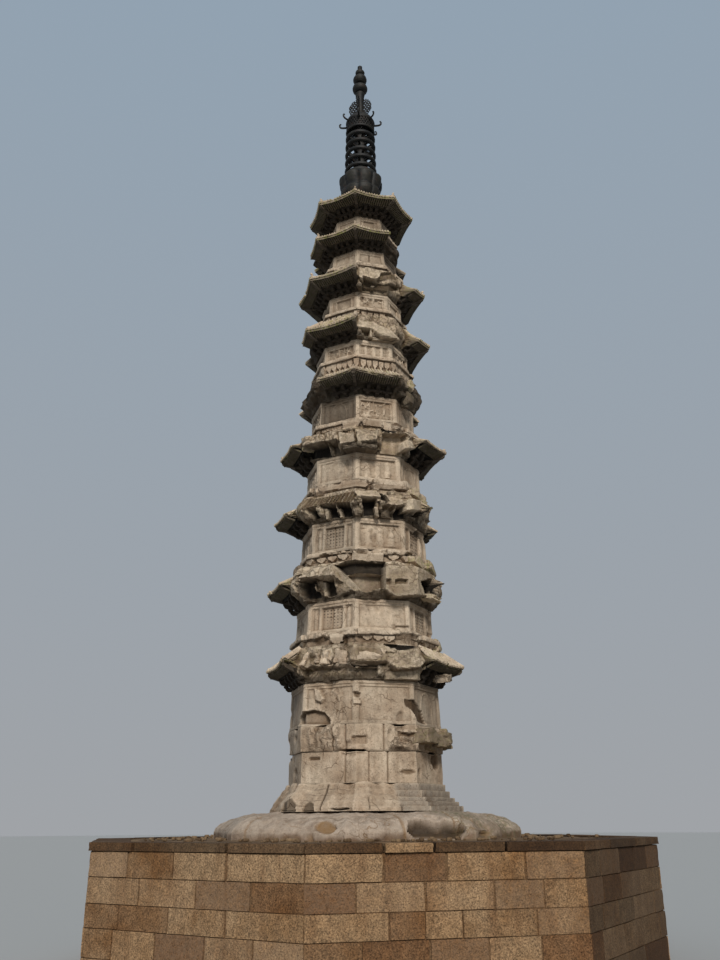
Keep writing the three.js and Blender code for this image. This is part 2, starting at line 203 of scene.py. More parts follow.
def finished(
    name: str, mesh: bpy.types.Mesh, finish: bpy.types.Material, sharp: float = 38.0,
) -> bpy.types.Object:
    """An object in the scene with its finish and shading.

    Args:
        name: Name of the piece.
        mesh: The mesh, in place.
        finish: The material.
        sharp: Edges turn sharp over this angle in degrees.

    Returns:
        The object at the origin.
    """
    mesh.name = name
    mesh.materials.clear()
    mesh.materials.append(finish)
    mesh.shade_smooth()
    mesh.set_sharp_from_angle(angle=math.radians(sharp))
    piece = bpy.data.objects.new(name, mesh)
    bpy.context.scene.collection.objects.link(piece)
    return piece


def ring_mesh(points: np.ndarray, layers: Mapping[str, np.ndarray], is_tube: bool = False) -> bpy.types.Mesh:
    """A closed mesh from rows of points that go round the axis.

    Args:
        points: Rows from the bottom up, columns anticlockwise, then x, y and z.
        layers: Numbers for each point, which the finishes read by name.
        is_tube: The last row joins the first, and otherwise both ends get a lid.

    Returns:
        The mesh.
    """
    rows, columns = points.shape[:2]
    index = np.arange(rows * columns).reshape(rows, columns)
    upper = np.roll(index, -1, axis=0) if is_tube else index[1:]
    lower = index if is_tube else index[:-1]
    quads = np.stack([lower, np.roll(lower, -1, 1), np.roll(upper, -1, 1), upper], axis=-1)
    faces = quads.reshape(-1, 4).tolist()
    vertices = points.reshape(-1, 3)
    if not is_tube:
        middles = np.array([points[0].mean(0), points[-1].mean(0)])
        vertices = np.vstack([vertices, middles])
        low, high = rows * columns, rows * columns + 1
        first, last = index[0], index[-1]
        faces += [[low, int(b), int(a)] for a, b in zip(first, np.roll(first, -1))]
        faces += [[high, int(a), int(b)] for a, b in zip(last, np.roll(last, -1))]
    mesh = bpy.data.meshes.new("rings")
    mesh.from_pydata(vertices.tolist(), [], faces)
    for name, values in layers.items():
        flat = values.reshape(-1)
        if not is_tube:
            flat = np.concatenate([flat, [values[0].mean(), values[-1].mean()]])
        mesh.attributes.new(name, "FLOAT", "POINT").data.foreach_set("value", flat.astype(np.float32))
    return mesh


def blurred(values: np.ndarray, rows: int, columns: int) -> np.ndarray:
    """A grid smoothed with a box whose columns wrap round the axis."""
    padded = np.pad(values, ((rows, rows), (0, 0)), mode="edge")
    total = sum(np.roll(padded, step, axis=0) for step in range(-rows, rows + 1))[rows:-rows]
    return sum(np.roll(total, step, axis=1) for step in range(-columns, columns + 1)) / (
        (2 * rows + 1) * (2 * columns + 1)
    )


def grid_normals(points: np.ndarray) -> np.ndarray:
    """Unit normals of a grid of points whose columns go round the axis."""
    along = np.roll(points, -1, 1) - np.roll(points, 1, 1)
    normal = np.cross(along, np.gradient(points, axis=0))
    return normal / (np.linalg.norm(normal, axis=-1, keepdims=True) + 1e-9)


def weathering_and_shade(
    points: np.ndarray, under_soot: float = 1.0, hollow_depth: float = 0.035,
) -> dict[str, np.ndarray]:
    """How soot and painted shade on undersides, painted shade in hollows and worn edges lie on a grid of
    points.

    Args:
        points: Rows from the bottom up, columns anticlockwise, then x, y and z.
        under_soot: How strongly undersides are darkened, with soot and painted shade.
        hollow_depth: Depth at which a hollow's painted shade is full.

    Returns:
        The layers of soot and painted shade, of painted shade in hollows and of worn edges, each between 0
        and 1.
    """
    # Undersides get soot and painted shade.
    under = smooth_step(0.15, 0.75, -blurred(grid_normals(points)[..., 2], 1, 1))
    radius = np.linalg.norm(points[..., :2], axis=-1)
    relief = radius - blurred(radius, 3, 4)
    # Points sunk below their surroundings get painted shade; points that stand out count as worn.
    hollow = np.clip(-relief / hollow_depth, 0, 1)
    worn = np.clip(relief / hollow_depth, 0, 1)
    patchy = 0.8 + 0.35 * ROUGH.fractal(points, 0.4, 3)
    return {"soot": np.clip(under * under_soot * patchy, 0, 1), "hollow": hollow, "worn": worn}


def left_grey(azimuths: np.ndarray, points: np.ndarray, amount: float) -> np.ndarray:
    """The grey of the sides that face left, for each point of a grid."""
    return amount * smooth_step(60, 100, -wrapped(azimuths)) * np.ones(points.shape[:2])


def lumps(points: np.ndarray, size: float) -> tuple[np.ndarray, np.ndarray]:
    """Rounded lumps with sharp creases between them, as where stone has broken away.

    Args:
        points: The points.
        size: Size of a lump in metres.

    Returns:
        Heights between -0.4 and 0.6, and how deep in a crease each point is, from 0 to 1.
    """
    bent = points + 0.25 * size * ROUGH.value(points + 21, size)[..., None]
    swing = np.abs(ROUGH.value(bent + 8, size)) + 0.4 * np.abs(ROUGH.value(bent + 17, size * 0.4))
    return swing - 0.4, 1 - smooth_step(0.02, 0.16, swing)


def rough_stone(
    name: str, seed: int, cells: tuple[int, int, int], roundness: float, chamfer: float, ragged: float = 0.06
) -> bpy.types.Object:
    """A squared stone one metre each way, with chipped edges and an uneven face.

    Args:
        name: Name of the template.
        seed: Fixes its shape.
        cells: Faces along x, y and z.
        roundness: 0 for a square block, towards 1 for a boulder.
        chamfer: How far its edges are worn back.
        ragged: Height of its bumps.

    Returns:
        The template object, outside the scene.
    """
    mesh = bpy.data.meshes.new(name)
    work = bmesh.new()
    seen: dict[tuple[int, ...], bmesh.types.BMVert] = {}

    def corner(key: tuple[int, ...]) -> bmesh.types.BMVert:
        """The vertex at a lattice place on the block's skin."""
        if key not in seen:
            place = np.sin((np.array(key) / np.array(cells) * 2 - 1) * math.pi / 2)
            bump = float(ROUGH.fractal(place + seed * 5.1, 0.8, 3))
            at_end = np.abs(place) > 0.999
            if at_end.sum() > 1:
                place = place * np.where(at_end, 1 - chamfer * (0.5 + abs(bump)), 1)
            ball = place / (np.linalg.norm(place) + 1e-9)
            place = place * (1 - roundness) + ball * roundness
            seen[key] = work.verts.new(place * 0.5 * (0.97 + ragged * bump))
        return seen[key]

    for axis in range(3):
        b, c = (axis + 1) % 3, (axis + 2) % 3
        for level in (0, cells[axis]):
            for p in range(cells[b]):
                for q in range(cells[c]):
                    places = []
                    for dp, dq in ((0, 0), (1, 0), (1, 1), (0, 1)):
                        key = [0, 0, 0]
                        key[axis], key[b], key[c] = level, p + dp, q + dq
                        places.append(corner(tuple(key)))
                    work.faces.new(places if level else places[::-1])
    work.to_mesh(mesh)
    work.free()
    return bpy.data.objects.new(name, mesh)


def tube_faces(rows: int, count: int) -> list[tuple[int, ...]]:
    """Faces of a tube from rows of points, with a lid at each end."""
    faces = []
    for row in range(rows - 1):
        for k in range(count):
            a, b = row * count + k, row * count + (k + 1) % count
            faces.append((a, b, b + count, a + count))
    return faces + [tuple(reversed(range(count))), tuple(range((rows - 1) * count, rows * count))]


def lathe_part(outline: Sequence[tuple[float, float]], count: int, axis: str = "z") -> tuple[list, list]:
    """Vertices and faces of a turned shape, closed at both ends.

    Args:
        outline: Radius and height pairs from the bottom up.
        count: Sides of the shape.
        axis: The axis that it is turned on, z or y.

    Returns:
        The vertices and the faces.
    """
    vertices = []
    for radius, height in outline:
        for k in range(count):
            angle = 2 * math.pi * k / count
            x, y = radius * math.cos(angle), radius * math.sin(angle)
            vertices.append((x, y, height) if axis == "z" else (y, height, x))
    return vertices, tube_faces(len(outline), count)


def extruded_part(outline: Sequence[tuple[float, float]], low: float, high: float) -> tuple[list, list]:
    """Vertices and faces of a plate on edge: an outline in y and z, extruded along x."""
    count = len(outline)
    vertices = [(x, y, z) for x in (low, high) for y, z in outline]
    faces = [tuple(range(count)), tuple(reversed(range(count, 2 * count)))]
    faces += [(k, k + count, (k + 1) % count + count, (k + 1) % count) for k in range(count)]
    return vertices, faces


def template(name: str, *parts: tuple[list, list]) -> bpy.types.Object:
    """A template object from parts, outside the scene, with its faces turned outwards."""
    vertices: list = []
    faces: list = []
    for part_vertices, part_faces in parts:
        start = len(vertices)
        vertices += part_vertices
        faces += [tuple(start + i for i in face) for face in part_faces]
    mesh = bpy.data.meshes.new(name)
    mesh.from_pydata(vertices, [], faces)
    work = bmesh.new()
    work.from_mesh(mesh)
    bmesh.ops.recalc_face_normals(work, faces=work.faces)
    work.to_mesh(mesh)
    work.free()
    return bpy.data.objects.new(name, mesh)


# Repeated shapes.


@dataclass
class Place:
    """Where one copy of a repeated shape stands."""

    position: tuple[float, float, float]
    turn: tuple[float, float, float]
    size: tuple[float, float, float]
    soot: float = 0.0
    tone: float = 0.0
    moss: float = 0.0
    kind: int = 0


def place_on_side(
    side: float,
    across: float,
    out: float,
    height: float,
    size: tuple[float, float, float],
    pitch: float = 0.0,
    yaw: float = 0.0,
    roll: float = 0.0,
    **layers: float,
) -> Place:
    """A place on one side of the octagon. The copy's -Y looks outwards there.

    Args:
        side: Azimuth of the side in degrees.
        across: Metres along the side from its middle.
        out: Metres from the axis, square to the side.
        height: Metres above the platform's top.
        size: Size along the side, outwards and upwards.
        pitch: Turn about the side's direction in degrees, which lifts the inner end.
        yaw: Extra turn about the vertical in degrees.
        roll: Extra turn about the outward direction in degrees.
        **layers: soot and painted shade, tone, moss and kind for the copy.

    Returns:
        The place.
    """
    angle = math.radians(side)
    x = out * math.sin(angle) + across * math.cos(angle)
    y = -out * math.cos(angle) + across * math.sin(angle)
    turn = (math.radians(pitch), math.radians(roll), angle + math.radians(yaw))
    return Place((x, y, height + PLATFORM_TOP), turn, size, **layers)


class Scatter:
    """Copies of templates at given places, made by one tree of geometry nodes."""

    _tree: bpy.types.NodeTree | None = None

    @classmethod
    def tree(cls) -> bpy.types.NodeTree:
        """The tree, built once: templates on points, realised and given their finish."""
        if cls._tree is None:
            tree = bpy.data.node_groups.new("stone_copies", "GeometryNodeTree")
            sockets = (
                ("Places", "NodeSocketGeometry"),
                ("Templates", "NodeSocketCollection"),
                ("Finish", "NodeSocketMaterial"),
                ("Size Spread", "NodeSocketFloat"),
                ("Turn Spread", "NodeSocketFloat"),
                ("Seed", "NodeSocketInt"),
            )
            for name, kind in sockets:
                tree.interface.new_socket(name, in_out="INPUT", socket_type=kind)
            tree.interface.new_socket("Copies", in_out="OUTPUT", socket_type="NodeSocketGeometry")
            graph = Graph(tree)
            given = graph.add("NodeGroupInput")
            turn = graph.add(
                "GeometryNodeInputNamedAttribute", {"data_type": "FLOAT_VECTOR"}, {"Name": "turn"},
            )
            size = graph.add(
                "GeometryNodeInputNamedAttribute", {"data_type": "FLOAT_VECTOR"}, {"Name": "size"},
            )
            kind = graph.add("GeometryNodeInputNamedAttribute", {"data_type": "INT"}, {"Name": "kind"})
            low = graph.math("SUBTRACT", 1.0, given.outputs["Size Spread"])
            high = graph.math("ADD", 1.0, given.outputs["Size Spread"])
            scale = graph.add("FunctionNodeRandomValue", {"data_type": "FLOAT"})
            graph.feed(scale, 2, low)
            graph.feed(scale, 3, high)
            graph.feed(scale, "Seed", given.outputs["Seed"])
            times = {"operation": "SCALE"}
            sized = graph.add("ShaderNodeVectorMath", times, {0: size.outputs[0], "Scale": scale.outputs[1]})
            spread = graph.add(
                "FunctionNodeRandomValue", {"data_type": "FLOAT_VECTOR"}, {0: (-1, -1, -1), 1: (1, 1, 1)},
            )
            graph.feed(spread, "Seed", given.outputs["Seed"])
            amount = given.outputs["Turn Spread"]
            swing = graph.add("ShaderNodeVectorMath", times, {0: spread.outputs[0], "Scale": amount})
            turned = graph.add(
                "ShaderNodeVectorMath", {"operation": "ADD"}, {0: turn.outputs[0], 1: swing.outputs[0]},
            )
            rotation = graph.add("FunctionNodeEulerToRotation", {}, {0: turned.outputs[0]})
            shapes = graph.add(
                "GeometryNodeCollectionInfo",
                {"transform_space": "ORIGINAL"},
                {0: given.outputs["Templates"], "Separate Children": True, "Reset Children": True},
            )
            copies = graph.add(
                "GeometryNodeInstanceOnPoints",
                {},
                {
                    "Points": given.outputs["Places"],
                    "Instance": shapes.outputs[0],
                    "Pick Instance": True,
                    "Instance Index": kind.outputs[0],
                    "Rotation": rotation.outputs[0],
                    "Scale": sized.outputs[0],
                },
            )
            real = graph.add("GeometryNodeRealizeInstances", {}, {0: copies.outputs[0]})
            dressed = graph.add(
                "GeometryNodeSetMaterial", {}, {0: real.outputs[0], "Material": given.outputs["Finish"]},
            )
            graph.add("NodeGroupOutput", {}, {0: dressed.outputs[0]})
            cls._tree = tree
        return cls._tree

    @classmethod
    def build(
        cls,
        name: str,
        places: Sequence[Place],
        templates: Sequence[bpy.types.Object],
        finish: bpy.types.Material,
        size_spread: float = 0.0,
        turn_spread: float = 0.0,
        seed: int = 1,
        sharp: float = 38.0,
    ) -> bpy.types.Object:
        """Copy the templates to the places.

        Args:
            name: Name of the piece.
            places: Where the copies stand.
            templates: The shapes, in the order that a place's kind counts them.
            finish: The material.
            size_spread: Random change of size, as a share.
            turn_spread: Random turn in radians.
            seed: Fixes the random changes.
            sharp: Edges turn sharp over this angle in degrees.

        Returns:
            One plain mesh object at the origin.
        """
        points = bpy.data.meshes.new(name + "_places")
        points.from_pydata([place.position for place in places], [], [])
        for key in ("turn", "size"):
            values = np.array([getattr(place, key) for place in places], dtype=np.float32)
            points.attributes.new(key, "FLOAT_VECTOR", "POINT").data.foreach_set("vector", values.ravel())
        for key in ("soot", "tone", "moss"):
            values = np.array([getattr(place, key) for place in places], dtype=np.float32)
            points.attributes.new(key, "FLOAT", "POINT").data.foreach_set("value", values)
        kinds = np.array([place.kind for place in places], dtype=np.int32)
        points.attributes.new("kind", "INT", "POINT").data.foreach_set("value", kinds)
        holder = bpy.data.objects.new(name + "_places", points)
        shapes = bpy.data.collections.new(name + "_shapes")
        for rank, shape in enumerate(templates):
            shape.name = f"shape_{rank:02d}_{name}"
            shapes.objects.link(shape)
        bpy.context.scene.collection.children.link(shapes)
        bpy.context.scene.collection.objects.link(holder)
        modifier = holder.modifiers.new("copies", "NODES")
        modifier.node_group = cls.tree()
        inputs = {
            "Templates": shapes,
            "Finish": finish,
            "Size Spread": float(size_spread),
            "Turn Spread": float(turn_spread),
            "Seed": seed,
        }
        for item in cls.tree().interface.items_tree:
            if item.in_out == "INPUT" and item.name in inputs:
                modifier[item.identifier] = inputs[item.name]
        evaluated = holder.evaluated_get(bpy.context.evaluated_depsgraph_get())
        mesh = bpy.data.meshes.new_from_object(evaluated)
        bpy.data.objects.remove(holder)
        bpy.data.collections.remove(shapes)
        return finished(name, mesh, finish, sharp)


# Finishes.


class Graph:
    """Short calls for the nodes of one tree."""

    def __init__(self, tree: bpy.types.NodeTree) -> None:
        """Keep the tree that the nodes go into."""
        self.tree = tree

    def add(
        self, kind: str, settings: Mapping | None = None, sockets: Mapping | None = None,
    ) -> bpy.types.Node:
        """Add a node.

        Args:
            kind: The node's type.
            settings: Its properties.
            sockets: Values or other nodes' outputs for its inputs, by name or number.

        Returns:
            The node.
        """
        node = self.tree.nodes.new(kind)
        for name, value in (settings or {}).items():
            setattr(node, name, value)
        for key, value in (sockets or {}).items():
            self.feed(node, key, value)
        return node

    def feed(self, node: bpy.types.Node, key: str | int, value: object) -> None:
        """Set an input to a value, or link another node's output to it."""
        if isinstance(value, bpy.types.NodeSocket):
            self.tree.links.new(value, node.inputs[key])
        else:
            node.inputs[key].default_value = value

    def math(self, operation: str, *numbers: object) -> bpy.types.NodeSocket:
        """The result of a sum on up to three numbers."""
        return self.add("ShaderNodeMath", {"operation": operation}, dict(enumerate(numbers))).outputs[0]

    def noise(
        self, place: object, scale: float, detail: float = 3.0, roughness: float = 0.55,
    ) -> bpy.types.NodeSocket:
        """A noise pattern between 0 and 1."""
        sockets = {"Vector": place, "Scale": scale, "Detail": detail, "Roughness": roughness}
        return self.add("ShaderNodeTexNoise", {}, sockets).outputs["Fac"]

    def spread(
        self, value: object, low: float, high: float, to_low: float = 0.0, to_high: float = 1.0,
    ) -> bpy.types.NodeSocket:
        """A number stretched from one range to another and kept inside it."""
        sockets = {0: value, 1: low, 2: high, 3: to_low, 4: to_high}
        return self.add("ShaderNodeMapRange", {}, sockets).outputs[0]

    def mix(self, factor: object, first: object, second: object, blend: str = "MIX") -> bpy.types.NodeSocket:
        """Two colours mixed."""
        sockets = {0: factor, 6: first, 7: second}
        return self.add("ShaderNodeMix", {"data_type": "RGBA", "blend_type": blend}, sockets).outputs[2]

    def shaded(self, colour: object, shade: object) -> bpy.types.NodeSocket:
        """A colour multiplied by a number around 1."""
        grey = self.add("ShaderNodeCombineColor", {}, {0: shade, 1: shade, 2: shade}).outputs[0]
        return self.mix(1.0, colour, grey, "MULTIPLY")

    def edges(
        self, place: object, scale: float, wide: tuple[float, float], amount: float,
    ) -> bpy.types.NodeSocket:
        """Thin lines between cells, as strong as the amount."""
        sockets = {"Vector": place, "Scale": scale}
        cells = self.add("ShaderNodeTexVoronoi", {"feature": "DISTANCE_TO_EDGE"}, sockets)
        return self.spread(cells.outputs["Distance"], *wide, amount, 0.0)

    def layer(self, name: str) -> bpy.types.NodeSocket:
        """A number that the mesh carries for each point."""
        return self.add("ShaderNodeAttribute", {"attribute_name": name}).outputs["Fac"]

    def surface(self, colour: object, roughness: object, bump: bpy.types.Node, specular: float) -> None:
        """End the material with its shader and output."""
        sockets = {"Base Color": colour, "Roughness": roughness, "Normal": bump.outputs[0]}
        shader = self.add("ShaderNodeBsdfPrincipled", {}, sockets)
        shader.inputs["Specular IOR Level"].default_value = specular
        self.add("ShaderNodeOutputMaterial", {}, {"Surface": shader.outputs[0]})


Colour = tuple[float, float, float, float]


def tint(red: float, green: float, blue: float) -> Colour:
    """A colour given as the eye sees it, from 0 to 255, made linear."""
    linear = [((v / 255 + 0.055) / 1.055) ** 2.4 if v > 10 else v / 255 / 12.92 for v in (red, green, blue)]
    return (*linear, 1.0)


@dataclass(frozen=True)
class StoneFinish:
    """Weathered stone: patches, stains that run down, pits and grain, with soot and painted shade on
    undersides and painted shade in hollows.
    """

    name: str
    base: Colour
    pale: Colour
    # The stain colour, also used for painted shade at places where tone is below zero.
    stain_and_shade: Colour
    # The colour of pits and cracks, and of painted shade in hollows and creases.
    hollow: Colour
    # The colour of soot and of painted shade.
    soot: Colour
    moss: Colour
    grey: Colour = (0.28, 0.25, 0.21, 1.0)
    stain_amount: float = 0.5
    moss_amount: float = 0.0
    moss_spread: tuple[float, float] = (0.42, 0.6)
    pit_depth: float = 0.009
    pit_scale: float = 34.0
    speckle: float = 0.2
    grain_scale: float = 95.0
    crack_scale: float = 3.4
    crack_amount: float = 0.8
    roughness: float = 0.92

    def build(self) -> bpy.types.Material:
        """Build the material.

        Returns:
            The material.
        """
        material = bpy.data.materials.new(self.name)
        material.use_nodes = True
        graph = Graph(material.node_tree)
        material.node_tree.nodes.clear()
        place = graph.add("ShaderNodeTexCoord").outputs["Object"]
        tall = graph.add("ShaderNodeMapping", {}, {"Vector": place, "Scale": (7.0, 7.0, 0.9)}).outputs[0]
        patches = graph.spread(graph.noise(place, 1.7, 5.0, 0.62), 0.36, 0.64)
        mottle = graph.noise(place, 11.0, 6.0, 0.7)
        runs = graph.spread(graph.noise(tall, 1.0, 5.0, 0.65), 0.47, 0.72, 0.0, self.stain_amount)
        grain = graph.noise(place, self.grain_scale, 4.0, 0.7)
        pits = graph.add(
            "ShaderNodeTexVoronoi", {"feature": "F1"}, {"Vector": place, "Scale": self.pit_scale},
        )
        pitted = graph.spread(pits.outputs["Distance"], 0.08, 0.34)
        colour = graph.mix(patches, self.base, self.pale)
        tone = graph.layer("tone")
        # Tone mixes towards the pale colour, as paler stone and at places painted light, and towards the
        # stain colour, as stains and at places painted shade.
        colour = graph.mix(graph.spread(tone, 0.0, 1.0, 0.0, 0.85), colour, self.pale)
        colour = graph.mix(graph.spread(tone, -1.0, 0.0, 0.85, 0.0), colour, self.stain_and_shade)
        colour = graph.mix(graph.layer("grey"), colour, self.grey)
        colour = graph.mix(runs, colour, self.stain_and_shade)
        colour = graph.shaded(colour, graph.spread(mottle, 0.3, 0.72, 0.68, 1.16))
        colour = graph.shaded(colour, graph.spread(grain, 0.3, 0.7, 1.0 - self.speckle, 1.0 + self.speckle))
        colour = graph.mix(graph.spread(graph.layer("worn"), 0.0, 1.0, 0.0, 0.5), colour, self.pale)
        colour = graph.mix(graph.spread(pitted, 0.0, 1.0, 0.25, 0.0), colour, self.hollow)
        crack = self.cracks(graph, place)
        colour = graph.mix(crack, colour, self.hollow)
        # Painted shade in hollows.
        sunk = graph.math("MULTIPLY", graph.layer("hollow"), graph.spread(mottle, 0.2, 0.6, 0.55, 1.0))
        colour = graph.mix(sunk, colour, self.hollow)
        if self.moss_amount > 0:
            growth = graph.math("MULTIPLY", graph.layer("moss"), self.moss_amount)
            growth = graph.math(
                "MULTIPLY", growth, graph.spread(graph.noise(place, 24.0, 4.0), *self.moss_spread),
            )
            colour = graph.mix(growth, colour, self.moss)
        # Soot and painted shade, in patches.
        patchy = graph.spread(graph.noise(place, 6.0, 5.0, 0.7), 0.2, 0.5, 0.9, 1.0)
        colour = graph.mix(graph.math("MULTIPLY", graph.layer("soot"), patchy), colour, self.soot)
        height = graph.math("MULTIPLY_ADD", grain, 0.35, mottle)
        height = graph.math("ADD", height, graph.math("MULTIPLY", pitted, 0.7))
        height = graph.math("SUBTRACT", height, crack)
        valley = graph.math("ABSOLUTE", graph.math("SUBTRACT", graph.noise(place, 8.0, 6.0, 0.6), 0.5))
        crevice = graph.math("MULTIPLY", graph.spread(valley, 0.0, 0.035, 1.0, 0.0), graph.layer("broken"))
        height = graph.math("MULTIPLY_ADD", crevice, -1.6, height)
        colour = graph.mix(graph.math("MULTIPLY", crevice, 0.45), colour, self.hollow)
        bump = graph.add(
            "ShaderNodeBump", {}, {"Strength": 0.85, "Distance": self.pit_depth, "Height": height},
        )
        rough = graph.spread(mottle, 0.2, 0.8, self.roughness - 0.08, min(1.0, self.roughness + 0.06))
        graph.surface(colour, rough, bump, 0.22)
        return material

    def cracks(self, graph: Graph, place: bpy.types.NodeSocket) -> bpy.types.NodeSocket:
        """Long cracks and, between them, patches of fine ones."""
        cloud = graph.add("ShaderNodeTexNoise", {}, {"Vector": place, "Scale": 4.0}).outputs["Color"]
        bend = {0: cloud, 1: (0.5, 0.5, 0.5), 2: place}
        wavy = graph.add("ShaderNodeVectorMath", {"operation": "MULTIPLY_ADD"}, bend).outputs[0]
        long = graph.edges(wavy, self.crack_scale, (0.004, 0.022), self.crack_amount)
        long = graph.math("MULTIPLY", long, graph.spread(graph.noise(place, 2.3, 3.0), 0.5, 0.6))
        fine = graph.edges(wavy, self.crack_scale * 4, (0.01, 0.07), self.crack_amount * 0.45)
        fine = graph.math("MULTIPLY", fine, graph.spread(graph.noise(place, 5.3, 3.0), 0.55, 0.62))
        return graph.math("MAXIMUM", long, fine)


@dataclass(frozen=True)
class IronFinish:
    """Dark weathered cast iron with olive bloom and a little rust."""

    name: str
    base: Colour
    bloom: Colour
    rust: Colour
    roughness: float = 0.62

    def build(self) -> bpy.types.Material:
        """Build the material.

        Returns:
            The material.
        """
        material = bpy.data.materials.new(self.name)
        material.use_nodes = True
        graph = Graph(material.node_tree)
        material.node_tree.nodes.clear()
        place = graph.add("ShaderNodeTexCoord").outputs["Object"]
        cloud = graph.noise(place, 9.0, 5.0, 0.65)
        grain = graph.noise(place, 120.0, 4.0, 0.7)
        colour = graph.mix(graph.spread(cloud, 0.42, 0.7, 0.0, 0.75), self.base, self.bloom)
        colour = graph.mix(graph.spread(graph.layer("worn"), 0.1, 1.0, 0.0, 0.9), colour, self.bloom)
        colour = graph.mix(
            graph.spread(graph.noise(place, 17.0, 4.0), 0.55, 0.72, 0.0, 0.6), colour, self.rust,
        )
        height = graph.math("MULTIPLY_ADD", grain, 0.5, cloud)
        bump = graph.add("ShaderNodeBump", {}, {"Strength": 0.6, "Distance": 0.003, "Height": height})
        rough = graph.spread(grain, 0.2, 0.8, self.roughness - 0.12, self.roughness + 0.12)
        graph.surface(colour, rough, bump, 0.3)
        return material


class Finish(Enum):
    """The finishes of the object's materials."""

    WHITE_STONE = StoneFinish(
        "white_stone_weathered",
        base=tint(184, 161, 137),
        pale=tint(212, 193, 169),
        stain_and_shade=tint(132, 108, 84),
        hollow=tint(96, 74, 52),
        soot=tint(26, 22, 18),
        moss=tint(150, 148, 84),
        moss_amount=1.0,
    )
    RESTORED_STONE = StoneFinish(
        "restored_stone_grey",
        base=tint(158, 140, 122),
        pale=tint(186, 168, 150),
        stain_and_shade=tint(112, 86, 64),
        hollow=tint(132, 102, 68),
        soot=tint(40, 34, 28),
        moss=tint(96, 94, 62),
        moss_amount=0.8,
        pit_depth=0.008,
    )
    PLATFORM_STONE = StoneFinish(
        "platform_sandstone",
        base=tint(127, 92, 57),
        pale=tint(158, 129, 97),
        stain_and_shade=tint(100, 66, 39),
        hollow=tint(80, 56, 36),
        soot=tint(30, 22, 15),
        moss=tint(140, 115, 92),
        moss_amount=0.5,
        moss_spread=(0.25, 0.6),
        pit_depth=0.008,
        pit_scale=48.0,
        speckle=0.8,
        grain_scale=60.0,
        crack_amount=0.0,
        roughness=0.94,
    )
    PLATFORM_FILL = StoneFinish(
        "packed_rubble_and_earth",
        base=tint(122, 98, 72),
        pale=tint(144, 120, 92),
        stain_and_shade=tint(90, 70, 50),
        hollow=tint(70, 52, 36),
        soot=tint(52, 40, 28),
        moss=tint(96, 90, 54),
        pit_depth=0.016,
        pit_scale=15.0,
        roughness=0.97,
    )
    CAST_IRON = IronFinish(
        "cast_iron_weathered", base=tint(17, 17, 17), bloom=tint(46, 44, 37), rust=tint(66, 48, 40)
    )


class Workshop:
    """Keeps the built materials and puts each finished piece on its body."""

    SLOTS = {
        Finish.WHITE_STONE: "white_stone",
        Finish.RESTORED_STONE: "restored_stone",
        Finish.PLATFORM_STONE: "platform_stone",
        Finish.PLATFORM_FILL: "platform_fill",
        Finish.CAST_IRON: "cast_iron",
    }

    def __init__(self) -> None:
        """Build every finish once."""
        self.materials = {finish: finish.value.build() for finish in Finish}

    def hand_in(self, piece: bpy.types.Object, finish: Finish, *nodes: str) -> bpy.types.Object:
        """Put a piece on its body.

        Args:
            piece: The finished object.
            finish: The finish that it wears; not used.
            *nodes: The nodes of the part that it stands for.

        Returns:
            The piece.
        """
        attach(piece, BODY)
        if nodes:
            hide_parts(*nodes)
        stood_for = " for " + ", ".join(nodes) if nodes else ""
        LOG.info("%s: %d faces%s", piece.name, len(piece.data.polygons), stood_for)
        return piece

    def rings(
        self, name: str, finish: Finish, points: np.ndarray, layers: Mapping[str, np.ndarray],
        nodes: Sequence[str] = (), is_tube: bool = False,
    ) -> bpy.types.Object:
        """A piece from rows of points that go round the axis."""
        mesh = ring_mesh(points, layers, is_tube)
        return self.hand_in(finished(name, mesh, self.materials[finish]), finish, *nodes)

    def copies(
        self, name: str, finish: Finish, places: Sequence[Place], templates: Sequence[bpy.types.Object],
        nodes: Sequence[str] = (), **spread: float,
    ) -> bpy.types.Object | None:
        """A piece from copies of templates, or nothing where there is no place for one."""
        if not places:
            return None
        piece = Scatter.build(name, places, templates, self.materials[finish], **spread)
        return self.hand_in(piece, finish, *nodes)


# Platform.


def profile_rows(outline: Sequence[tuple[float, float]], spacing: float) -> np.ndarray:
    """Radius and height pairs with no step along the outline longer than the spacing."""
    rows = [np.array(outline[0], dtype=float)]
    for start, end in zip(outline[:-1], outline[1:]):
        start, end = np.array(start, dtype=float), np.array(end, dtype=float)
        steps = max(1, math.ceil(np.linalg.norm(end - start) / spacing))
        rows += [start + (end - start) * (k + 1) / steps for k in range(steps)]
    return np.array(rows)


def course_points(rows: np.ndarray, azimuths: np.ndarray, turn: float = 0.0) -> np.ndarray:
    """An octagonal course from rows of corner radius and height."""
    share = octagon_share(azimuths)
    return polar(rows[:, :1] * share, azimuths + turn, rows[:, 1:2])


def pushed(points: np.ndarray, amount: np.ndarray) -> np.ndarray:
    """Points of a grid moved out along its normals by an amount in metres."""
    return points + grid_normals(points) * amount[..., None]


class Cut(Enum):
    """Outlines of the hollows worn or cut into a wall."""

    SLOT = "slot"
    OVAL = "oval"


@dataclass(frozen=True)
class Mark:
    """A hollow in one side of a course, by the place of its middle and its size."""

    side: int
    across: float
    height: float
    width: float
    tall: float
    depth: float = 0.03
    cut: Cut = Cut.SLOT
    soft: float = 0.012

    def cover(self, sides: np.ndarray, across: np.ndarray, heights: np.ndarray) -> np.ndarray:
        """How much of each point the mark covers.

        Args:
            sides: Side that each column is on.
            across: Metres along that side.
            heights: Heights of the points.

        Returns:
            Numbers from 0 to 1.
        """
        x, y = np.abs(across - self.across), np.abs(heights - self.height)
        if self.cut is Cut.OVAL:
            reach = np.hypot(x / self.width * 2, y / self.tall * 2)
            inside = 1 - smooth_step(0.8, 1.2, reach)
        else:
            inside = 1 - smooth_step(self.width / 2 - self.soft, self.width / 2 + self.soft, x)
            inside = inside * (1 - smooth_step(self.tall / 2 - self.soft, self.tall / 2 + self.soft, y))
        return inside * (sides == self.side)


